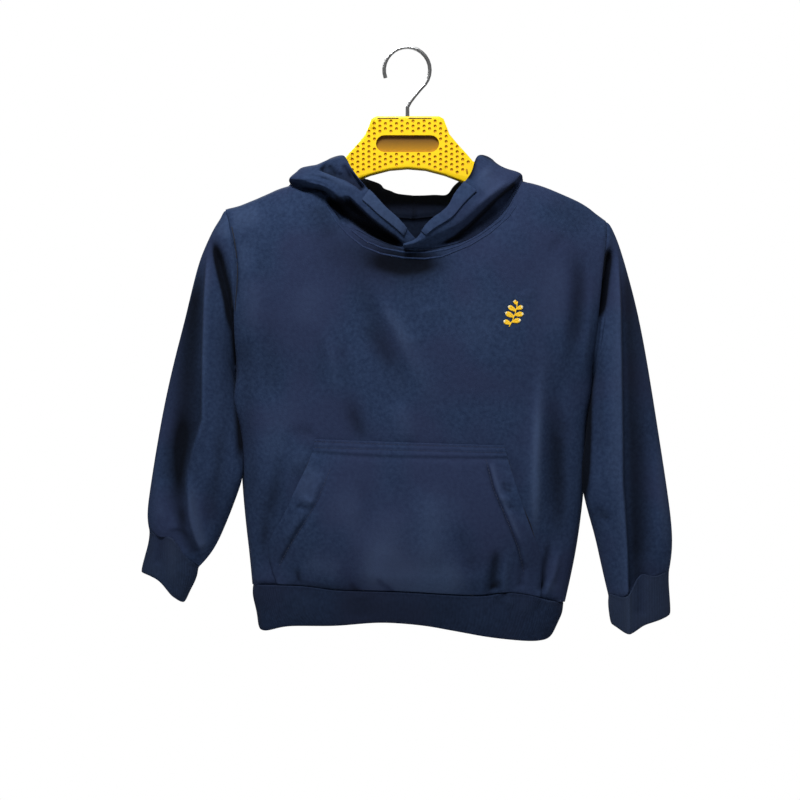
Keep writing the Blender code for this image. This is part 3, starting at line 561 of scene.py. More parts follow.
def seamCord(name, onto, rows, material, radius, sink=cordSet["sink"]):
    # a thin round line laid on the cloth, such as a seam's edge or its thread
    trees = [treeOf(piece) for piece in onto]
    curve = bpy.data.curves.new(name, "CURVE")
    curve.dimensions = "3D"
    curve.bevel_depth = radius * mm
    curve.bevel_resolution = 2
    for row in rows:
        hits = [castOn(trees, x, z) for (x, z), _ in resample(row, cordSet["pitch"])]
        spots = [hit[0] + toBack * radius * sink * mm for hit in hits if hit]
        line = curve.splines.new("POLY")
        line.points.add(len(spots) - 1)
        for point, spot in zip(line.points, spots):
            point.co = (*spot, 1.0)
        for point in (line.points[0], line.points[-1]):
            point.radius = cordSet["tip"]
    carrier = addObject(name, curve)
    mesh = bakedMesh(carrier)
    bpy.data.objects.remove(carrier)
    pieceFrom(name, bmeshOf(mesh), material)


print("body")
bodySet = {
    "foldDepth": 1.5,  # how deep the folds are, against their rows
    "seamReach": 9,
    "bandZ": -525,  # below this height the folds run on into the band
    # painted shade on the inside of the back
    "insidePaintedShade": 0.72,
    "frontFolds": (
        # chest drape from the neck down to both sides
        (-2.2, 9, 13, 0.4, 0.5, -60.7, -216.2, -34.3, -265.1, -9, -323.7, 4.7, -380.3),
        (1.6, 10, 9, 0.4, 0.5, -34.3, -238.7, -9, -282.6, 17.4, -336.4, 32.1, -380.3),
        (-1.0, 4, 5, 0.4, 0.4, -87.1, -280.7, -81.2, -313.9, -83.2, -346.1),
        (-1.0, 4, 5, 0.4, 0.4, -69.5, -277.8, -60.7, -319.7, -55.8, -360.8),
        (0.9, 7, 7, 0.4, 0.4, -78.3, -282.6, -71.5, -316.8, -69.5, -351),
        (-1.8, 9, 9, 0.4, 0.4, -59.7, -343.2, -49, -380.3, -36.3, -395.9),
        (1.4, 8, 10, 0.4, 0.3, -11.9, -346.1, -2.1, -375.4, 4.7, -394),
        (-1.2, 12, 12, 0.4, 0.4, -141.8, -253.3, -134, -321.7, -126.2, -380.3),
        (1.6, 9, 14, 0.3, 0.4, -163.3, -194.7, -151.5, -243.6, -147.6, -311.9),
        (0.8, 3, 3, 0.4, 0.5, -129.1, -163.5, -118.3, -169.3),
        (-1.0, 3, 3, 0.4, 0.5, -130.1, -166.4, -118.3, -173.2),
        # right side: the long ridge over the hip and the hollow behind it
        (3.0, 9, 6, 0.5, 0.25, 134.6, -282.6, 129.7, -351, 124.9, -419.4, 123.9, -492.6),
        (-3.2, 8, 12, 0.4, 0.4, 145.4, -311.9, 147.3, -380.3, 149.3, -448.7, 151.2, -507.3),
        (-2.4, 9, 8, 0.4, 0.5, 165.9, -189.8, 168.8, -243.6, 162.9, -302.2, 151.2, -351),
        (1.2, 6, 6, 0.4, 0.4, 180.5, -204.5, 178.6, -272.9, 172.7, -341.2),
        (0.9, 2.5, 2.5, 0.4, 0.4, 143.4, -374.4, 160, -394),
        (-0.9, 3, 3, 0.4, 0.4, 149.3, -372.5, 163.9, -390.1),
        (0.8, 3, 4, 0.4, 0.4, 105.3, -253.3, 127.8, -241.6),
        (-1.0, 4, 4, 0.4, 0.4, 137.5, -210.4, 155.1, -186.9),
        # across, above the pocket
        (-1.2, 3, 5, 0.4, 0.2, -120.3, -384.2, -104.7, -381.3, -88.1, -383.2),
        (1.4, 10, 8, 0.4, 0.4, -101.7, -395.9, -108.6, -424.2),
        (-1.6, 6, 5, 0.3, 0.3, -124.2, -401.8, -130.1, -448.7, -135.9, -476),
        (0.7, 3, 3, 0.4, 0.4, 12.5, -265.1, 37.9, -262.1),
        (0.7, 3, 3, 0.4, 0.4, -2.1, -294.4, 17.4, -289.5),
        # shadow under the neck seam
        (-1.8, 12, 6, 0.3, 0.3, -46.1, -216.2, -7, -226, 41.8, -218.2),
        # pulls where the body is gathered into the band
        (-1.4, 3, 3, 0.5, 0.0, -137.9, -468.2, -141.8, -492.6),
        (-1.6, 2.5, 3, 0.5, 0.0, 142.4, -478, 137.5, -507.3, 131.7, -536.6),
        (1.6, 4, 3, 0.5, 0.0, 150.2, -492.6, 145.4, -521.9, 137.5, -538.5),
    ),
    "backFolds": (
        (-2.4, 10, 14, 0.4, 0.5, -70, -190, -48, -260, -20, -330),
        (1.8, 9, 10, 0.4, 0.5, -52, -230, -28, -300, 0, -360),
        (-2.2, 12, 10, 0.4, 0.5, 75, -195, 60, -270, 38, -345),
        (1.5, 9, 9, 0.4, 0.5, 120, -260, 112, -350, 98, -440),
        (-1.6, 8, 8, 0.4, 0.4, -130, -330, -122, -420, -126, -500),
        (1.6, 10, 8, 0.4, 0.3, -95, -400, -88, -470, -92, -530),
        (-1.4, 5, 5, 0.5, 0.0, 30, -480, 26, -546),
        (-1.3, 4, 4, 0.5, 0.0, -40, -500, -44, -546),
        (1.2, 5, 5, 0.5, 0.0, 88, -500, 92, -548),
        (-1.0, 4, 3, 0.4, 0.4, -140, -205, -120, -235),
        (1.0, 4, 4, 0.4, 0.4, 150, -230, 138, -262),
    ),
    "armholePulls": (
        # the shoulder's corner
        (-180, -160, 9, 8, -3.0, 1.5),
        # the armhole seam bows towards the chest
        (-171.3, -217.2, 9, 30, 3.4, 0),
    ),
    "neckPulls": (
        # the neck seam drops steeply beside the hood
        (-57.8, -174.2, 12, 11, -3.6, -4.6),
        (-87.1, -152.7, 12, 8, 1.5, 6.5),
    ),
    "sidePulls": (
        # under the arms the sides reach the sleeves
        (-161, -350, 9, 24, -8.5, 0),
        (180, -343, 9, 20, 3.5, 0),
    ),
    "hemPulls": (
        # the band's seam rises in the middle
        (-7, -543.4, 88, 16, 0, 4.6),
    ),
    # painted light and shade on the front: painted highlights (plus), and painted shade (minus) such as the
    # shadow under the neck
    "paintedTones": (
        (-0.16, 16, 16, 0.3, 0.3, -153.5, -194.7, -151.5, -216.2, -149.6, -243.6),
        (-0.36, 22, 24, 0.25, 0.3, -83.2, -177.2, -63.6, -200.6, -34.3, -216.2, 2.8, -222.1, 43.8, -216.2),
        (-0.55, 1.3, 1.3, 0.1, 0.2, -171.1, -190.8, -167.7, -206.5, -166, -228.9, -166.8, -253.3),
        (-0.24, 22, 22, 0.3, 0.3, 134.6, -151.8, 163.9, -169.3, 178.6, -189.8),
        (0.32, 14, 14, 0.2, 0.3, -176.9, -171.3, -157.4, -169.3, -141.8, -161.5),
        (0.22, 12, 12, 0.3, 0.3, -167.2, -194.7, -157.4, -210.4, -147.6, -222.1),
        (-0.34, 14, 14, 0.3, 0.3, -87.1, -151.8, -83.2, -175.2, -71.5, -196.7),
        (-0.64, 22, 15, 0.45, 0.35, -61.7, -194.7, -34.3, -210.4, -2.1, -216.2, 32.1, -216.2, 53.6, -206.5),
        (-0.28, 10, 10, 0.3, 0.3, 165.9, -199.6, 168.8, -253.3, 164.9, -302.2),
        (0.16, 16, 16, 0.3, 0.3, -104.7, -233.8, -94.9, -253.3, -104.7, -282.6),
        (0.18, 18, 18, 0.3, 0.3, 149.3, -204.5, 145.4, -253.3, 141.5, -292.4),
        (0.14, 20, 20, 0.3, 0.3, 61.4, -233.8, 71.1, -272.9, 61.4, -311.9),
        (0.16, 18, 18, 0.3, 0.3, -124.2, -331.5, -126.2, -380.3, -141.8, -429.1),
        (-0.22, 9, 9, 0.1, 0.3, -159.4, -282.6, -157.4, -351, -153.5, -419.4, -151.5, -487.7),
        (0.3, 4, 4, 0.3, 0.2, 126.8, -343.2, 126.3, -419.4, 124.9, -495.5),
        (-0.32, 12, 10, 0.3, 0.3, 149.3, -351, 148.3, -390.1, 151.2, -448.7, 146.3, -507.3),
        (-0.3, 10, 8, 0.3, 0.2, -122.2, -419.4, -135.9, -448.7, -141.8, -487.7, -139.8, -517),
        (-0.25, 6, 6, 0.3, 0.3, -55.8, -355.9, -46.1, -380.3, -38.3, -391),
        (-0.25, 8, 8, 0.3, 0.3, -44.1, -270.9, -26.5, -297.3, -12.9, -323.7),
        (0.22, 6, 6, 0.3, 0.3, -28.5, -251.4, -9, -278.7, 1.8, -308),
        (-0.35, 3, 4, 0.3, 0.0, 141.5, -487.7, 135.6, -512.1, 130.7, -538.5),
        (-0.5, 2.4, 3, 0.2, 0.2, 113.1, -538.5, 121.9, -537.5, 129.7, -533.6, 139.5, -529.7),
        (0.25, 4, 3, 0.2, 0.2, 134.6, -538.5, 145.4, -536.6, 152.2, -531.7),
    ),
}
edgePulls = bodySet["armholePulls"] + bodySet["neckPulls"]
front = clothPiece("front", fleece)
back = clothPiece("back", fleece)
for piece, frontFolds, backFolds in ((front, bodySet["frontFolds"], ()), (back, (), bodySet["backFolds"])):
    pullEdges(piece, edgePulls + bodySet["sidePulls"] + bodySet["hemPulls"])
    pushOut(piece, frontFolds, backFolds, reach=bodySet["seamReach"],
            freeFrom=lambda p: p.z < bodySet["bandZ"], scale=bodySet["foldDepth"])
paintShading(front, bodySet["paintedTones"])
paintInsideShade(back, bodySet["insidePaintedShade"])


print("pocket")
# the lines along the turned hems of the two hand openings
openingLeft = (-75.4, -419.4, -86.1, -446.7, -99.8, -470.2, -114.4, -492.6, -125.2, -513.1)
openingRight = (76.6, -409.6, 83.8, -437.9, 97.5, -468.7, 108.2, -494.6, 114.1, -519)
pocketSet = {
    "foldDepth": 1.2,
    "folds": (
        (-1.1, 1.4, 3.0, 0.0, 0.0, -94.9, -401.8, -55.8, -404.7, -15.8, -406.7, 41.8, -407.6, 100.4, -408.1),
        (-0.7, 1.2, 1.2, 0.0, 0.0, -92.9, -391.5, -7, -394.5, 98.5, -397.4),
        (-0.7, 1.2, 1.2, 0.0, 0.0, -92.9, -397.4, -7, -399.8, 98.5, -402.3),
        # turned hems of the two openings
        (-1.2, 1.6, 2.2, 0.1, 0.1, *openingRight),
        (1.0, 3.5, 2.0, 0.1, 0.1, 80.9, -409.6, 88.7, -437.9, 102.4, -468.7, 113.1, -494.6, 118, -519),
        (-1.2, 2.2, 1.6, 0.2, 0.1, *openingLeft),
        (0.9, 2.0, 3.5, 0.2, 0.1, -81.2, -419.4, -92, -446.7, -105.6, -468.2, -120.3, -489.7),
        (-1.2, 3, 3, 0.3, 0.3, 89.7, -433, 104.3, -436.9),
        (-1.0, 3, 3, 0.3, 0.3, 96.5, -453.6, 109.2, -460.4),
        (1.0, 3, 3, 0.3, 0.3, 86.8, -445.7, 102.4, -448.7),
        (-1.4, 3, 3, 0.3, 0.3, -108.6, -453.6, -94.9, -458.4),
        (1.2, 3.5, 3.5, 0.3, 0.3, -104.7, -445.7, -87.1, -451.6),
        # soft bag of the pocket
        (-1.5, 9, 9, 0.4, 0.4, -46.1, -419.4, -38.3, -458.4, -44.1, -497.5),
        (1.6, 16, 14, 0.4, 0.3, -11.9, -448.7, -14.8, -487.7, -26.5, -519),
        (1.4, 14, 12, 0.4, 0.3, 17.4, -429.1, 24.3, -487.7, 20.3, -521.9),
        (-1.6, 8, 9, 0.4, 0.3, 46.7, -468.2, 61.4, -507.3, 69.2, -526.8),
        (-2.4, 3, 4, 0.5, 0.0, 88.7, -492.6, 85.8, -517, 82.9, -534.6),
        (1.6, 4, 4, 0.5, 0.0, 98.5, -495.5, 96.5, -519, 94.6, -536.6),
        (-1.8, 3, 3, 0.5, 0.0, -109.6, -513.1, -106.6, -528.8),
        (-1.6, 3, 3, 0.4, 0.0, 114.1, -507.3, 111.2, -531.7),
    ),
    # painted light and shade on the pocket: painted highlights on its bulges, painted shade in its creases
    "paintedTones": (
        (0.26, 24, 20, 0.3, 0.2, -75.4, -429.1, -53.9, -458.4, -30.4, -492.6, -22.6, -521.9),
        (0.2, 22, 22, 0.3, 0.3, 32.1, -429.1, 22.3, -478, 16.4, -519),
        (0.74, 20, 18, 0.25, 0.25, -55.8, -515.1, -26.5, -520.9, 2.8, -526.8, 32.1, -528.8, 67.2, -520.9),
        (0.3, 12, 12, 0.3, 0.3, -104.7, -507.3, -83.2, -513.1, -59.7, -519),
        (-0.45, 6, 6, 0.3, 0.1, 87.7, -492.6, 84.8, -517, 83.8, -536.6),
        (-0.5, 2.6, 3.4, 0.3, 0.0, -30.4, -522.9, -24.6, -529.7, -14.8, -537.5),
        (-0.4, 3, 3, 0.3, 0.0, -55.8, -528.8, -50, -536.6),
        (-0.45, 3, 3, 0.2, 0.0, 93.6, -526.8, 86.8, -532.7, 78.9, -538.5),
        (0.28, 10, 10, 0.3, 0.3, -87.1, -411.6, -98.8, -435, -106.6, -452.6),
        # painted shade along the turned hems' stitching and painted light on the hems beside it
        (-0.5, 1.5, 1.5, 0.1, 0.1, 77, -409.6, 84.3, -437.9, 97.5, -468.7, 108.2, -494.6, 114.1, -519),
        (0.34, 3.4, 1.6, 0.1, 0.2, 79.4, -409.6, 87.2, -437.9, 100.4, -468.7, 111.2, -492.6),
        (-0.5, 1.8, 1.8, 0.2, 0.1, -97.8, -463.3, -108.6, -479.9, -120.3, -501.4, -127.1, -513.1),
        (-0.4, 2.2, 2.2, 0.3, 0.3, 90.7, -436, 103.4, -439.9),
        (-0.4, 2.2, 2.2, 0.3, 0.3, -107.6, -517, -105.6, -528.8),
        (-0.35, 3.5, 3.5, 0.1, 0.1, -120.3, -531.7, -104.7, -530.7, -75.4, -534.6, -40.2, -538.5),
    ),
    "stitchRows": (
        (-89, -391.5, -7, -394.5, 93.6, -397.4),
        (-89, -397.4, -7, -399.8, 93.6, -402.3),
        openingRight,
        openingLeft,
    ),
}
pocket = clothPiece("pocket", fleece, levels=3)
pullEdges(pocket, bodySet["hemPulls"])
pushOut(pocket, bodySet["frontFolds"], scale=bodySet["foldDepth"])
pushOut(pocket, pocketSet["folds"], scale=pocketSet["foldDepth"])
paintShading(pocket, pocketSet["paintedTones"])


print("sleeves")
sleeveSet = {
    "foldDepth": 1.2,
    "seamReach": 5,
    "toneRound": 5.0,
    "leftFolds": (
        (-7.0, 6.0, 3.0, 0.12, 0.3, -194, -189.6, -186.1, -215.2, -178.7, -242.8, -173.3, -270.3,
         -169.4, -301.8, -166.4, -360.8, -164.4, -412),
        # the outer part turns away behind a long ridge
        (-4.5, 1.6, 16.0, 0.15, 0.25, -200.4, -203.4, -202.3, -252.6, -203.3, -311.6, -203.3, -370.7,
         -213.6, -402.2, -219.5, -429.7),
        (1.8, 5.0, 2.0, 0.15, 0.25, -197.9, -203.4, -199.9, -252.6, -200.8, -311.6, -200.8, -370.7,
         -210.7, -402.2, -215.6, -429.7),
        (3.0, 5.0, 3.0, 0.3, 0.1, -213.6, -406.1, -215.6, -433.7, -212.7, -469.1, -207.7, -488.8,
         -200.8, -504.5),
        (-3.2, 8.0, 6.0, 0.3, 0.2, -223.5, -351, -226.4, -410, -226.4, -464.2, -220.5, -488.8),
        (-1.4, 5, 5, 0.4, 0.4, -191, -419.9, -197.9, -464.2, -195.9, -496.6),
        (1.4, 5, 5, 0.4, 0.4, -241.2, -351, -249.1, -410, -251, -464.2),
    ),
    "rightFolds": (
        (2.6, 1.6, 7.0, 0.2, 0.0, 208.5, -193.6, 209.5, -252.6, 209.5, -331.3, 210.5, -432.7, 212.4, -456.3,
         215.4, -500.6, 217.4, -547.8),
        (-4.0, 16.0, 1.6, 0.2, 0.0, 211.4, -193.6, 212.4, -252.6, 212.4, -331.3, 213.4, -432.7, 215.4, -456.3,
         218.3, -500.6, 220.3, -547.8),
        (-8.0, 5.0, 3.0, 0.15, 0.3, 198.7, -199.5, 193.7, -225, 189.8, -252.6, 186.8, -274.2),
        (-1.4, 9.0, 9.0, 0.3, 0.1, 229.2, -351, 231.1, -419.9, 232.1, -478.9, 231.1, -513.4),
        (-1.6, 4, 4, 0.4, 0.4, 183.9, -454.3, 201.6, -472),
        (1.4, 8, 8, 0.4, 0.4, 245.9, -380.5, 250.8, -449.4, 252.8, -508.4),
    ),
    "backFolds": (
        (-2.6, 6, 8, 0.3, 0.3, -200, -220, -208, -300, -212, -380),
        (2.0, 7, 7, 0.3, 0.3, -222, -330, -232, -400, -236, -470),
        (-1.8, 5, 5, 0.4, 0.2, -205, -420, -220, -480, -232, -505),
        (-2.6, 8, 6, 0.3, 0.3, 205, -225, 212, -300, 218, -390),
        (2.0, 7, 7, 0.3, 0.3, 228, -320, 238, -400, 244, -480),
        (-1.8, 5, 5, 0.4, 0.2, 205, -430, 216, -490, 226, -540),
    ),
    "pulls": (
        # the inner edges lie against the body under the arms
        (-168.4, -354, 8, 60, 6.1, 0),
        (-163.5, -419.9, 6, 22, 1.4, 0),
        (180, -351, 6, 34, -3.4, 0),
        (176, -417.9, 7, 30, -3.4, 0),
    ),
    "cuffPulls": (
        # the cuffs' seams bow upwards
        (-228.4, -495.6, 15, 14, -1.0, 12.0),
        (231.1, -535, 12, 11, 0, 10.0),
        (-223.5, -547.8, 6, 9, 0, -5.0),
    ),
    # painted light and shade on the left sleeve: painted shade on its turned-away part and in its deep fold,
    # painted highlights on its ridges
    "leftPaintedTones": (
        (-0.2, 11, 13, 0.2, 0.3, -183.1, -242.8, -181.2, -301.8, -179.2, -360.8, -180.2, -419.9),
        (-0.2, 12, 12, 0.3, 0.3, -233.3, -370.7, -237.3, -419.9, -239.2, -469.1),
        (0.36, 12, 12, 0.2, 0.3, -176.2, -164, -178.2, -179.8, -182.2, -193.6),
        (-2.6, 3.4, 3.8, 0.3, 0.25, -193, -189.6, -187.6, -208.3, -182.6, -229, -176.2, -254.6, -171.3, -286.1),
        (-1.0, 3.2, 4.0, 0.2, 0.2, -172.3, -274.2, -167.4, -311.6, -165.4, -351, -164.4, -390.4,
         -164.4, -421.8),
        (-0.62, 14, 14, 0.15, 0.2, -211.7, -215.2, -217.6, -282.1, -221.5, -351, -223.5, -419.9, -219.5, -471),
        (0.22, 5, 5, 0.2, 0.3, -197.9, -210.3, -199.9, -292, -202.8, -351),
        (0.42, 7, 5, 0.3, 0.15, -211.7, -419.9, -210.7, -454.3, -205.8, -480.9, -199.9, -502.5),
        (-0.5, 5, 6, 0.3, 0.1, -221.5, -449.4, -220.5, -478.9, -213.6, -491.7, -207.7, -504.5),
        (0.2, 8, 8, 0.3, 0.2, -237.3, -419.9, -245.1, -449.4, -243.2, -471),
        (-0.35, 6, 6, 0.3, 0.2, -182.2, -370.7, -186.1, -419.9, -194, -478.9),
    ),
    # painted light and shade on the right sleeve: painted shade beside the body and on its outer side, painted
    # highlights on its ridges
    "rightPaintedTones": (
        (-0.2, 9, 9, 0.2, 0.3, 192.8, -292, 190.8, -351, 189.8, -419.9),
        (-0.9, 3.4, 5.0, 0.2, 0.0, 181.9, -323.4, 179, -360.8, 177, -400.2, 175, -449.4),
        (-2.4, 4.2, 4.6, 0.25, 0.3, 200.6, -197.5, 196.7, -221.1, 193.7, -242.8, 189.8, -274.2),
        (-0.8, 2.4, 2.4, 0.1, 0.2, 188.8, -257.5, 184.9, -276.2, 181.9, -301.8, 179, -331.3),
        (-1.2, 4.2, 4.2, 0.2, 0.2, 182.9, -296.9, 179, -341.2, 178, -380.5, 176, -419.9, 174.1, -447.4),
        (-0.4, 20, 6, 0.1, 0.1, 219.3, -208.3, 221.3, -331.3, 223.3, -429.7, 225.2, -488.8, 227.2, -547.8),
        (0.18, 7, 7, 0.3, 0.2, 201.6, -252.6, 200.6, -331.3, 200.6, -419.9, 203.6, -449.4),
        (-0.3, 4, 4, 0.3, 0.3, 180, -461.2, 201.6, -469.1),
        (0.16, 7, 7, 0.2, 0.2, 248.8, -390.4, 252.8, -449.4, 254.7, -503.5),
    ),
}


def sleevePiece(nodeName, folds, paintedTones):
    sleeve = clothPiece(nodeName, fleece, levels=3)
    pullEdges(sleeve, edgePulls + sleeveSet["pulls"] + sleeveSet["cuffPulls"])
    pushOut(sleeve, folds, sleeveSet["backFolds"], reach=sleeveSet["seamReach"], scale=sleeveSet["foldDepth"])
    paintShading(sleeve, paintedTones, softY=sleeveSet["toneRound"])
    return sleeve


sleeveLeft = sleevePiece("sleeve_left", sleeveSet["leftFolds"], sleeveSet["leftPaintedTones"])
sleeveRight = sleevePiece("sleeve_right", sleeveSet["rightFolds"], sleeveSet["rightPaintedTones"])


print("bands")
bandSet = {
    "hemFolds": (
        (1.2, 4, 5, 0.5, 0.4, 98.5, -540.5, 102.4, -558.1),
        (-1.4, 4, 4, 0.5, 0.4, 88.7, -540.5, 90.7, -558.1),
        (-1.2, 5, 5, 0.5, 0.4, 129.7, -546.3, 129.7, -563.9),
        (1.2, 6, 6, 0.5, 0.4, 115.1, -542.4, 117, -565.9),
        (-1.0, 14, 14, 0.3, 0.3, -46.1, -541.5, -44.1, -567.8),
        (0.8, 12, 12, 0.3, 0.3, -104.7, -536.6, -102.7, -569.8),
    ),
    "hemPulls": (
        # its corners lie close against the body
        (-153.5, -532.7, 7, 9, 3.4, 0),
        (156.1, -550.2, 7, 9, -4.6, 0),
        (-140.8, -574.7, 12, 9, -1.5, -3.2),
    ),
    # painted shade across the hem band and a painted highlight at its right end
    "hemPaintedTones": (
        (-0.25, 16, 16, 0.2, 0.2, -85.1, -551.2, -7, -554.1, 71.1, -558.1),
        (0.35, 4, 4, 0.3, 0.3, 127.8, -538.5, 137.5, -544.4, 149.3, -552.2),
    ),
    "cuffLeftFolds": (
        (-2.0, 5, 5, 0.0, 0.3, -245.1, -483.8, -248.1, -518.3),
        (1.6, 6, 6, 0.0, 0.3, -231.4, -488.8, -231.4, -538),
    ),
    "cuffRightFolds": (
        (3.0, 3, 4, 0.0, 0.0, 217.4, -523.2, 218.3, -582.2),
        (-2.0, 6, 6, 0.0, 0.2, 229.2, -518.3, 230.1, -567.5),
    ),
    # painted light: each cuff is made lighter all over
    "cuffPaintedLight": (0.23, 0.36),
    # the soft ends: below these heights the bands are folded over, not cut
    "hemEnd": -562,
    "cuffRightEnd": -548,
    "cuffLeftEnd": (-499, -0.72, -258),  # height, slope, and the x that it is measured from
    # the weld joins the slivers along the inside of the hem band's left side
    "hemWeld": 0.45,
    # middle x, half width and half depth that the ribs run round
    "hemRound": (1, 152, 26),
    "cuffLeftRound": (-237, 26, 17),
    "cuffRightRound": (232, 30, 19),
    "roundSteps": 720,
}


def ribRun(piece, centre, halfWidth, halfDepth):
    # how far round the band each place is, so that the ribs keep their pitch
    spots = spotsOf(piece)
    turns = np.arctan2(spots[:, 1] / halfDepth, (spots[:, 0] - centre) / halfWidth)
    table = np.linspace(-math.pi, math.pi, bandSet["roundSteps"] + 1)
    stepX, stepY = np.diff(np.cos(table)) * halfWidth, np.diff(np.sin(table)) * halfDepth
    runs = np.concatenate(([0.0], np.cumsum(np.hypot(stepX, stepY))))
    attribute = piece.data.attributes.new("ribRun", "FLOAT", "POINT")
    attribute.data.foreach_set("value", np.interp(turns, table, runs) * mm)


def cuffLeftSoft(p):
    endZ, slope, fromX = bandSet["cuffLeftEnd"]
    return p.z < endZ + slope * (p.x - fromX)


hemBand = clothPiece("hem_band", ribKnit, levels=3, softEdge=lambda p: p.z < bandSet["hemEnd"],
                     weldMm=bandSet["hemWeld"])
cuffLeft = clothPiece("cuff_left", ribKnit, levels=3, softEdge=cuffLeftSoft)
cuffRight = clothPiece("cuff_right", ribKnit, levels=3, softEdge=lambda p: p.z < bandSet["cuffRightEnd"])
pullEdges(hemBand, bodySet["hemPulls"] + bandSet["hemPulls"])
pushOut(hemBand, bodySet["frontFolds"], bodySet["backFolds"], scale=bodySet["foldDepth"])
pushOut(hemBand, bandSet["hemFolds"])
paintShading(hemBand, bandSet["hemPaintedTones"])
for cuff, folds, paintedShading in zip((cuffLeft, cuffRight), (bandSet["cuffLeftFolds"], bandSet["cuffRightFolds"]),
                             bandSet["cuffPaintedLight"]):
    pullEdges(cuff, sleeveSet["cuffPulls"])
    pushOut(cuff, folds)
    # painted light over the whole cuff
    addPaintedShading(cuff, paintedShading)
ribRun(hemBand, *bandSet["hemRound"])
ribRun(cuffLeft, *bandSet["cuffLeftRound"])
ribRun(cuffRight, *bandSet["cuffRightRound"])


print("hood")
hoodSet = {
    "seamReach": 3.5,
    "round": 12,
    # painted shade on the hood's inside
    "insidePaintedShade": 0.8,
    # painted light: each strip is made lighter all over
    "stripPaintedLight": (0.34, 0.12),
    "leftFolds": (
        # the inner layer stands back behind the rolled one
        (-10.0, 12, 1.0, 0.1, 0.1, -87.8, -122.8, -79, -126.9, -70.3, -131, -59.6, -135.1, -48.9, -141.7,
         -43, -147.6),
        (-2.6, 2.0, 2.6, 0.2, 0.3, -78.1, -117.4, -74.2, -124.2, -70.6, -131),
        (-2.4, 2.0, 2.4, 0.2, 0.3, -63.5, -117.4, -58.6, -128.1, -53.7, -135.9),
        (1.6, 2.4, 2.4, 0.3, 0.3, -69.3, -119.3, -64.9, -129.1),
        # the rolled layer
        (1.6, 2.6, 3.6, 0.2, 0.3, -86.8, -126.2, -70.3, -134.9, -55.7, -143.7, -47.9, -149.5),
        (-1.5, 1.6, 2.2, 0.3, 0.4, -104.3, -131.5, -93.6, -130.1, -82.9, -133.5, -69.3, -139.8),
        (-1.2, 1.6, 2.2, 0.3, 0.4, -106.3, -136.4, -92.7, -135.4, -81, -140.3, -71.2, -146.6),
        # its lower edge, and the deep hollow under it
        (-3.0, 1.0, 2.4, 0.1, 0.1, -115, -143.2, -106.3, -140.6, -93.6, -142.5, -85.8, -141.5, -79, -147.1,
         -70.3, -155.4, -64.4, -157.3),
        (-15.0, 1.1, 12.0, 0.08, 0.12, -81, -149.5, -73.2, -153.9, -64.4, -156.8, -56.9, -154.6, -51.8, -159.6,
         -37.8, -173.3, -24.1, -184.2, -10.5, -193.6, -2.1, -199.6),
    ),
    "rightFolds": (
        (-2.4, 4.0, 1.0, 0.1, 0.3, 108.8, -135.5, 99.5, -143.9, 87.2, -154.8),
        (-4.0, 5.0, 0.9, 0.2, 0.12, 95.2, -148.1, 87.2, -155.2, 75, -166.9, 61.1, -180.6, 47.5, -191.6,
         31.9, -199),
        (1.6, 3.0, 4.0, 0.2, 0.2, 102, -132, 90.3, -142.7, 76.7, -154.4, 65, -165.1),
        (1.4, 6.0, 6.0, 0.4, 0.4, 72.8, -121.3, 80.6, -133),
        (-0.8, 4.0, 4.0, 0.4, 0.4, 86.4, -123.2, 90.3, -134.9),
    ),
    "backFolds": (
        (-3.0, 8, 10, 0.3, 0.3, -62, -150, -48, -195, -30, -235),
        (2.4, 8, 8, 0.3, 0.3, -40, -140, -24, -185, -14, -225),
        (-2.4, 8, 8, 0.3, 0.3, 70, -150, 58, -195, 40, -240),
        (2.2, 8, 8, 0.3, 0.3, 46, -140, 34, -190, 24, -230),
    ),
    # painted light and shade on the hood: painted shade in its hollows and creases, painted highlights on its
    # rolls and lit panel
    "paintedTones": (
        (-1.3, 5.5, 5.5, 0.06, 0.1, -75.1, -153.4, -67.3, -159.3, -59.6, -163.1, -47.9, -171.9, -34.3, -182.6,
         -20.6, -191.4, -8, -198.2),
        (0.3, 7, 5, 0.1, 0.1, -82.9, -119.3, -72.2, -124.2, -60.5, -129.6, -49.8, -135.9, -44, -142.7),
        (0.18, 6, 5, 0.1, 0.2, -106.3, -132, -86.8, -128.6, -70.3, -136.4, -53.7, -145.1),
        (0.3, 14, 14, 0.2, 0.2, 68.9, -127.1, 80.6, -136.9, 70.9, -148.5),
        (-1.0, 2.0, 1.6, 0.05, 0.15, 108.8, -134.5, 99.5, -143, 87.2, -153.9, 74.8, -166.1, 61.1, -179.7,
         47.5, -190.8, 30, -200.1),
        (-0.5, 8, 6, 0.2, 0.1, 92.3, -159.3, 78.7, -172.9, 63.1, -186.5, 47.5, -197.2),
        (-0.95, 4, 4, 0.0, 0.1, 65, -113.5, 64.1, -120.3, 62.1, -128.1, 59.2, -134.9),
    ),
    "pulls": (
        (-110, -129, 8, 6, -6.5, -2.5),
        (-104, -119, 7, 5, -2.0, 0.5),
        (-88, -114, 6, 4, -2.0, -1.5),
        (106, -127, 9, 7, 7.0, 1.5),
        (-37, -134, 9, 9, 9.0, 0.0, 2, 999),
        (-21, -142, 7, 6, 3.0, 1.5, 2, 999),
        (5, -149, 16, 8, 0.0, 2.4, 2, 999),
        (40, -142, 8, 8, 3.5, -4.5, 2, 999),
    ),
    # the two edges of the opening run straight to where they cross
    "openingPulls": (
        (3.7, -185.5, 15, 13, 3.0, -6.5, -99, -8),
        (31.9, -165.1, 15, 17, 6.5, 0.0, -99, -8),
        (-18.7, -163.1, 12, 14, -2.0, 0.0, -99, -8),
    ),
}


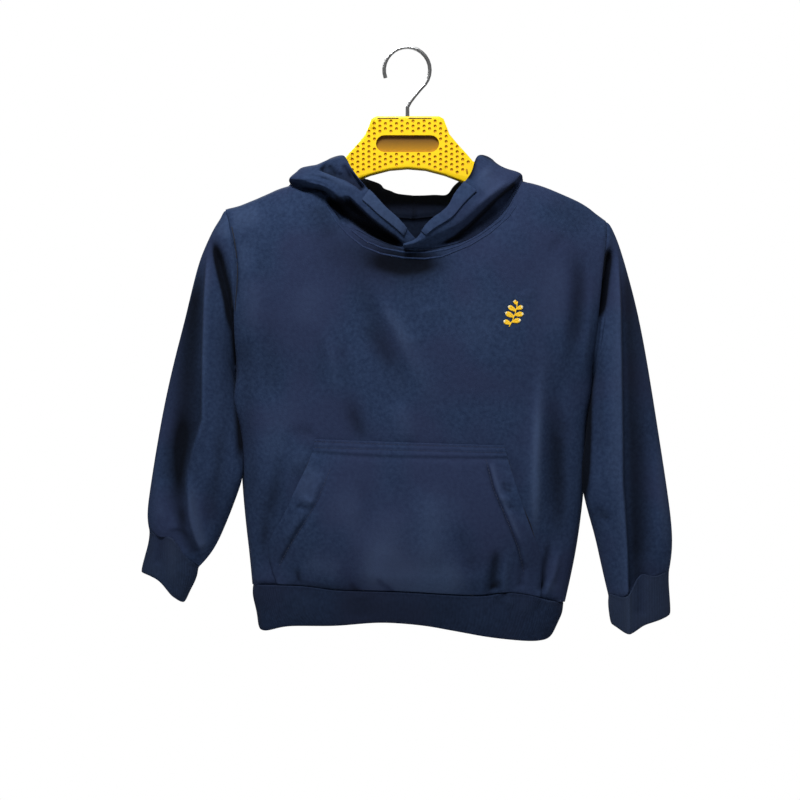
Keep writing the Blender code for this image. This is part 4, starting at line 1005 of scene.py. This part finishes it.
def hoodPanel(nodeName, folds):
    panel = clothPiece(nodeName, fleece, levels=3)
    pullEdges(panel, bodySet["neckPulls"] + hoodSet["pulls"] + hoodSet["openingPulls"])
    pushOut(panel, folds, hoodSet["backFolds"], reach=hoodSet["seamReach"], softY=hoodSet["round"])
    paintShading(panel, hoodSet["paintedTones"], softY=hoodSet["round"])
    paintInsideShade(panel, hoodSet["insidePaintedShade"])
    return panel


def hoodStrip(nodeName, paintedShading):
    strip = clothPiece(nodeName, fleece)
    pullEdges(strip, hoodSet["openingPulls"])
    # painted light over the whole strip
    addPaintedShading(strip, paintedShading)
    return strip


hoodLeft = hoodPanel("hood_left", hoodSet["leftFolds"])
hoodRight = hoodPanel("hood_right", hoodSet["rightFolds"])
stripLeft = hoodStrip("hood_strip_left", hoodSet["stripPaintedLight"][0])
stripRight = hoodStrip("hood_strip_right", hoodSet["stripPaintedLight"][1])


print("hanger")
hangerSet = {
    "columns": 14,  # on each side of the middle one
    "rows": 16,
    "columnPitch": 5.5,
    "rowPitch": 5.1,
    "firstRow": -70.5,
    "topRow": -72,
    "dimpleWidth": 3.3,
    "dimpleDepth": 1.2,
    "edgeMargin": 1.8,
    "recessMargin": 1.7,
    "sharpDegrees": 38,
    "front": -5.5,
    "recess": (0.5, -95.5, 63.0, 17.0, 3.0),  # centre x and z, length, height, depth
    "head": ((-31, -68.5), (-35.5, -71), (-38, -77), (-41.5, -86), (-48.5, -94.5), (-58.5, -105.5),
             (-64.5, -112.5), (-54, -131), (-36.5, -124.5), (-17.5, -119.5), (0.5, -118), (18.5, -119.5),
             (37.5, -124.5), (55, -131), (65.5, -112.5), (59.5, -105.5), (49.5, -94.5), (42.5, -86),
             (39, -77), (36.5, -71), (32, -68.5)),
    "grooves": ((-31, -70.4, -6, -70.4), (0, -70.4, 28, -70.4)),
    "slots": ((59, -119.5, 60.4, -127.5), (-56, -118.5, -55.4, -122.5)),
}


def edgeDistance(x, z, outline):
    inside, nearest = False, 1e9
    for (ax, az), (bx, bz) in zip(outline, outline[1:] + outline[:1]):
        if (az > z) != (bz > z) and x < (bx - ax) * (z - az) / (bz - az) + ax:
            inside = not inside
        t = ((x - ax) * (bx - ax) + (z - az) * (bz - az)) / ((bx - ax) ** 2 + (bz - az) ** 2)
        t = min(max(t, 0), 1)
        nearest = min(nearest, math.hypot(x - ax - t * (bx - ax), z - az - t * (bz - az)))
    return nearest if inside else -nearest


def dimpleCups():
    # a ball for each dimple, clear of the head's edge and of its recess
    cups = bmesh.new()
    centreX, centreZ, recessLength, recessHeight, _ = hangerSet["recess"]
    half = recessLength / 2 - recessHeight / 2
    width, depth = hangerSet["dimpleWidth"], hangerSet["dimpleDepth"]
    radius = ((width / 2) ** 2 + depth ** 2) / (2 * depth)
    for column in range(-hangerSet["columns"], hangerSet["columns"] + 1):
        x = centreX + column * hangerSet["columnPitch"]
        shift = 0.5 if column % 2 else 0.0
        for row in range(hangerSet["rows"]):
            z = hangerSet["firstRow"] - (row + shift) * hangerSet["rowPitch"]
            clear = edgeDistance(x, z, hangerSet["head"]) > hangerSet["edgeMargin"]
            fromRecess = math.hypot(max(abs(x - centreX) - half, 0), z - centreZ) - recessHeight / 2
            if clear and fromRecess > hangerSet["recessMargin"] and z < hangerSet["topRow"]:
                spot = Vector((x, hangerSet["front"] - radius + depth, z)) * mm
                facing = Matrix.Rotation(math.pi / 2, 4, "X")
                bmesh.ops.create_uvsphere(cups, u_segments=12, v_segments=8, radius=radius * mm,
                                          matrix=Matrix.Translation(spot) @ facing)
    mesh = meshFrom("cups", cups)
    for material in (yellowPlastic, recessShadePlastic, dimpleShadePlastic):
        mesh.materials.append(material)
    mesh.polygons.foreach_set("material_index", [2] * len(mesh.polygons))
    return addObject("cups", mesh)


def dimpledHanger():
    bm = bmeshOf(cadNodes["hanger"].data)
    bmesh.ops.remove_doubles(bm, verts=bm.verts, dist=0.01 * mm)
    bmesh.ops.dissolve_limit(bm, angle_limit=math.radians(0.5), verts=bm.verts, edges=bm.edges)
    # the recess floor takes the darker colour, painted shade
    recessFloor = hangerSet["front"] + hangerSet["recess"][-1]
    for face in bm.faces:
        onFloor = abs(face.calc_center_median().y / mm - recessFloor) < 0.3
        face.material_index = 1 if onFloor and face.normal.y < -0.9 else 0
    hanger = pieceFrom("hanger_moulded", bm, yellowPlastic)
    hanger.data.materials.append(recessShadePlastic)
    hanger.data.materials.append(dimpleShadePlastic)
    cutter = dimpleCups()
    cut = hanger.modifiers.new("Dimples", "BOOLEAN")
    cut.operation = "DIFFERENCE"
    cut.solver = "EXACT"
    cut.object = cutter
    hanger.data = bakedMesh(hanger)
    hanger.modifiers.clear()
    bpy.data.objects.remove(cutter)
    hanger.data.shade_smooth()
    hanger.data.set_sharp_from_angle(angle=math.radians(hangerSet["sharpDegrees"]))
    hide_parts("hanger")
    return hanger


hanger = dimpledHanger()
# dark cords in the recess colour along the groove and the slots: painted shade
seamCord("hanger_groove", [hanger], hangerSet["grooves"], recessShadePlastic, radius=0.85, sink=0.7)
seamCord("hanger_slots", [hanger], hangerSet["slots"], recessShadePlastic, radius=1.3, sink=0.6)
hookSlot = cadNodes["hook"].material_slots[0]
hookSlot.link = "OBJECT"
hookSlot.material = steelWire


print("sewing")
sewingSet = {
    "neckRidges": (
        (-83.2, -143, -79.3, -147.9, -74.9, -157.3, -66.6, -171.1, -54.4, -184.8, -40.6, -195.7, -24.2, -202.5,
         -3.6, -206.5, 17.4, -206.9, 37.9, -204, 51.6, -199.6, 69.8, -190.2, 92.6, -173.8, 102.4, -158.6,
         107.3, -147.9),
        (-83.2, -151.8, -78.3, -162, -69.5, -176.2, -56.8, -190.3, -43.1, -201.1, -25.6, -207.9, -4.1, -211.8,
         17.4, -212.8, 34, -210.8, 61.4, -199.6, 80.9, -187.5, 99.5, -171.3, 109.2, -157.6),
    ),
    "armholeLines": (
        (-173.5, -179.1, -170.6, -190.8, -168.2, -205.5, -166.6, -222.1, -166.8, -236.7, -168.2, -253.3,
         -169.1, -265.1),
    ),
    "pocketLines": (
        (-92, -401.8, -117.4, -460.4, -119.8, -467.2, -132.5, -487.7, -133.5, -503.4, -130.1, -519,
         -127.6, -528.8),
        (98.3, -408.6, 109.6, -446.7, 120.6, -473.1, 126.8, -492.6),
    ),
}
seamCord("neck_seam_ridges", [front], sewingSet["neckRidges"], fleece, radius=1.0)
# near-black cords along the armhole seam and the pocket's edges: painted seam shadow
seamCord("armhole_seam_lines", [front, sleeveLeft], sewingSet["armholeLines"], seamShadowThread, radius=0.5, sink=0.2)
seamCord("pocket_edge_lines", [front], sewingSet["pocketLines"], seamShadowThread, radius=0.5, sink=0.3)
stitchRows("stitches_pocket", [pocket], pocketSet["stitchRows"], navyThread)


print("badge")
badgeSet = {
    "centre": (104.6, -267.6),
    "thread": 0.95,  # width and spacing of the satin threads
    "overlap": 1.15,
    "height": 0.9,
    "lift": 0.35,
    "slant": 0.7,
    "tip": 1.6,  # how much of a leaf's tip is cream, in threads
    "wave": (0.12, 0.85),  # start and stretch of the half wave that a leaf's width follows
    "stem": ((-5.5, -12.3), (-2.0, -6.0), (0.5, 0.5), (2.0, 6.5), (3.0, 12.4)),
    # each leaf: where it leaves the stem, its direction in degrees, length, width
    "leaves": (((-3.6, -9.2), 158, 7.2, 4.2), ((-2.6, -7.2), 12, 8.6, 4.4), ((-0.6, -2.6), 152, 9.2, 4.6),
               ((0.2, -0.6), 8, 8.4, 4.4), ((1.2, 3.4), 148, 8.4, 4.2), ((1.7, 5.2), 20, 6.6, 3.8),
               ((2.6, 9.4), 128, 5.2, 3.0)),
}


def sprigBadge():
    tree = treeOf(front)
    centreX, centreZ = badgeSet["centre"]
    step = badgeSet["thread"]
    waveStart, waveStretch = badgeSet["wave"]

    def sew(bm, start, end):
        ends = []
        for x, z in (start, end):
            spot, normal, _, _ = castOn([tree], centreX + x, centreZ + z)
            ends.append((spot, -normal if normal.y > 0 else normal))
        (a, normal), (b, _) = ends
        addStitch(bm, (a + b) / 2 + normal * badgeSet["lift"] * mm, (b - a).normalized(), normal,
                  (b - a).length + step * mm, step * badgeSet["overlap"] * mm, badgeSet["height"] * mm)

    yellow, cream = bmesh.new(), bmesh.new()
    for (rootX, rootZ), degrees, length, width in badgeSet["leaves"]:
        ux, uz = math.cos(math.radians(degrees)), math.sin(math.radians(degrees))
        along = step / 2
        while along < length:
            # threads slant from the leaf's middle line, shorter towards both its ends
            wave = min(along / length * waveStretch + waveStart, 1.0)
            half = width / 2 * math.sin(math.pi * wave)
            slant = half * badgeSet["slant"]
            x, z = rootX + ux * along, rootZ + uz * along
            for turn in (1, -1):
                tip = (x + ux * slant - uz * half * turn, z + uz * slant + ux * half * turn)
                sew(cream if along > length - badgeSet["tip"] * step else yellow, (x, z), tip)
            along += step
    for start, end in zip(badgeSet["stem"], badgeSet["stem"][1:]):
        sew(yellow, start, end)
    pieceFrom("badge_threads_yellow", yellow, yellowThread)
    pieceFrom("badge_threads_cream", cream, creamThread)


sprigBadge()


print("studio")
studioSet = {
    "floorZ": -1200,
    "floorRadius": 1400,
    "floorColours": ("#E9E9E8", "#F1F1F0"),
    "grainMm": 6,
    "daylight": 0.14,
    # each light: its place, what it is aimed at, its size and its watts
    "lights": {
        "key": ((-0.25, -1.0, 1.15), (0, 0, -0.3), (0.7, 0.4), 41),
        "fill": ((0.3, -2.3, 0.1), (0, 0, -0.35), (1.0, 1.0), 4),
        # the last two are for the far sides, so that the back and the edges read as the front does
        "rear": ((-0.5, 1.7, 0.9), (0, 0, -0.35), (0.9, 0.9), 30),
        "side": ((2.0, 0.5, 0.4), (0, 0, -0.3), (0.8, 0.8), 8),
    },
}


def makeFloor():
    # Painted studio board: matt and off-white, with a fine roller grain
    material, tree, shader, place = newMaterial("matt painted board", {
        "Roughness": 0.9, "Specular IOR Level": 0.2})
    grain = addNode(tree, "ShaderNodeTexNoise", {"Scale": perMetre(studioSet["grainMm"]), "Detail": 3.0},
                    {"Vector": place})
    darker, lighter = studioSet["floorColours"]
    paint = addNode(tree, "ShaderNodeMix", {"A": toLinear(darker), "B": toLinear(lighter)},
                    {"Factor": grain.outputs["Fac"]}, data_type="RGBA")
    tree.links.new(paint.outputs["Result"], shader.inputs["Base Color"])
    relief = addNode(tree, "ShaderNodeBump", {"Strength": 0.2, "Distance": 0.2 * mm},
                     {"Height": grain.outputs["Fac"]})
    tree.links.new(relief.outputs["Normal"], shader.inputs["Normal"])
    bm = bmesh.new()
    bmesh.ops.create_circle(bm, cap_ends=True, segments=96, radius=studioSet["floorRadius"] * mm,
                            matrix=Matrix.Translation((0, 0, studioSet["floorZ"] * mm)))
    floor = addObject("floor", meshFrom("floor", bm))
    floor.data.materials.append(material)


def makeWorld():
    # The camera sees plain white; the cloth is lit by a much dimmer one
    world = bpy.data.worlds.new("studio")
    world.use_nodes = True
    tree = world.node_tree
    seen = addNode(tree, "ShaderNodeLightPath").outputs["Is Camera Ray"]
    strength = addNode(tree, "ShaderNodeMapRange", {"To Min": studioSet["daylight"], "To Max": 1.0},
                       {"Value": seen})
    background = tree.nodes["Background"]
    background.inputs["Color"].default_value = (1, 1, 1, 1)
    tree.links.new(strength.outputs["Result"], background.inputs["Strength"])
    bpy.context.scene.world = world


def addLight(name, place, aim, size, watts):
    data = bpy.data.lights.new(name, "AREA")
    data.shape = "RECTANGLE"
    data.size, data.size_y = size
    data.energy = watts
    light = addObject(name, data)
    light.location = place
    light.rotation_euler = (Vector(aim) - Vector(place)).to_track_quat("-Z", "Y").to_euler()
    light.visible_camera = False


makeFloor()
makeWorld()
for name, light in studioSet["lights"].items():
    addLight(name, *light)
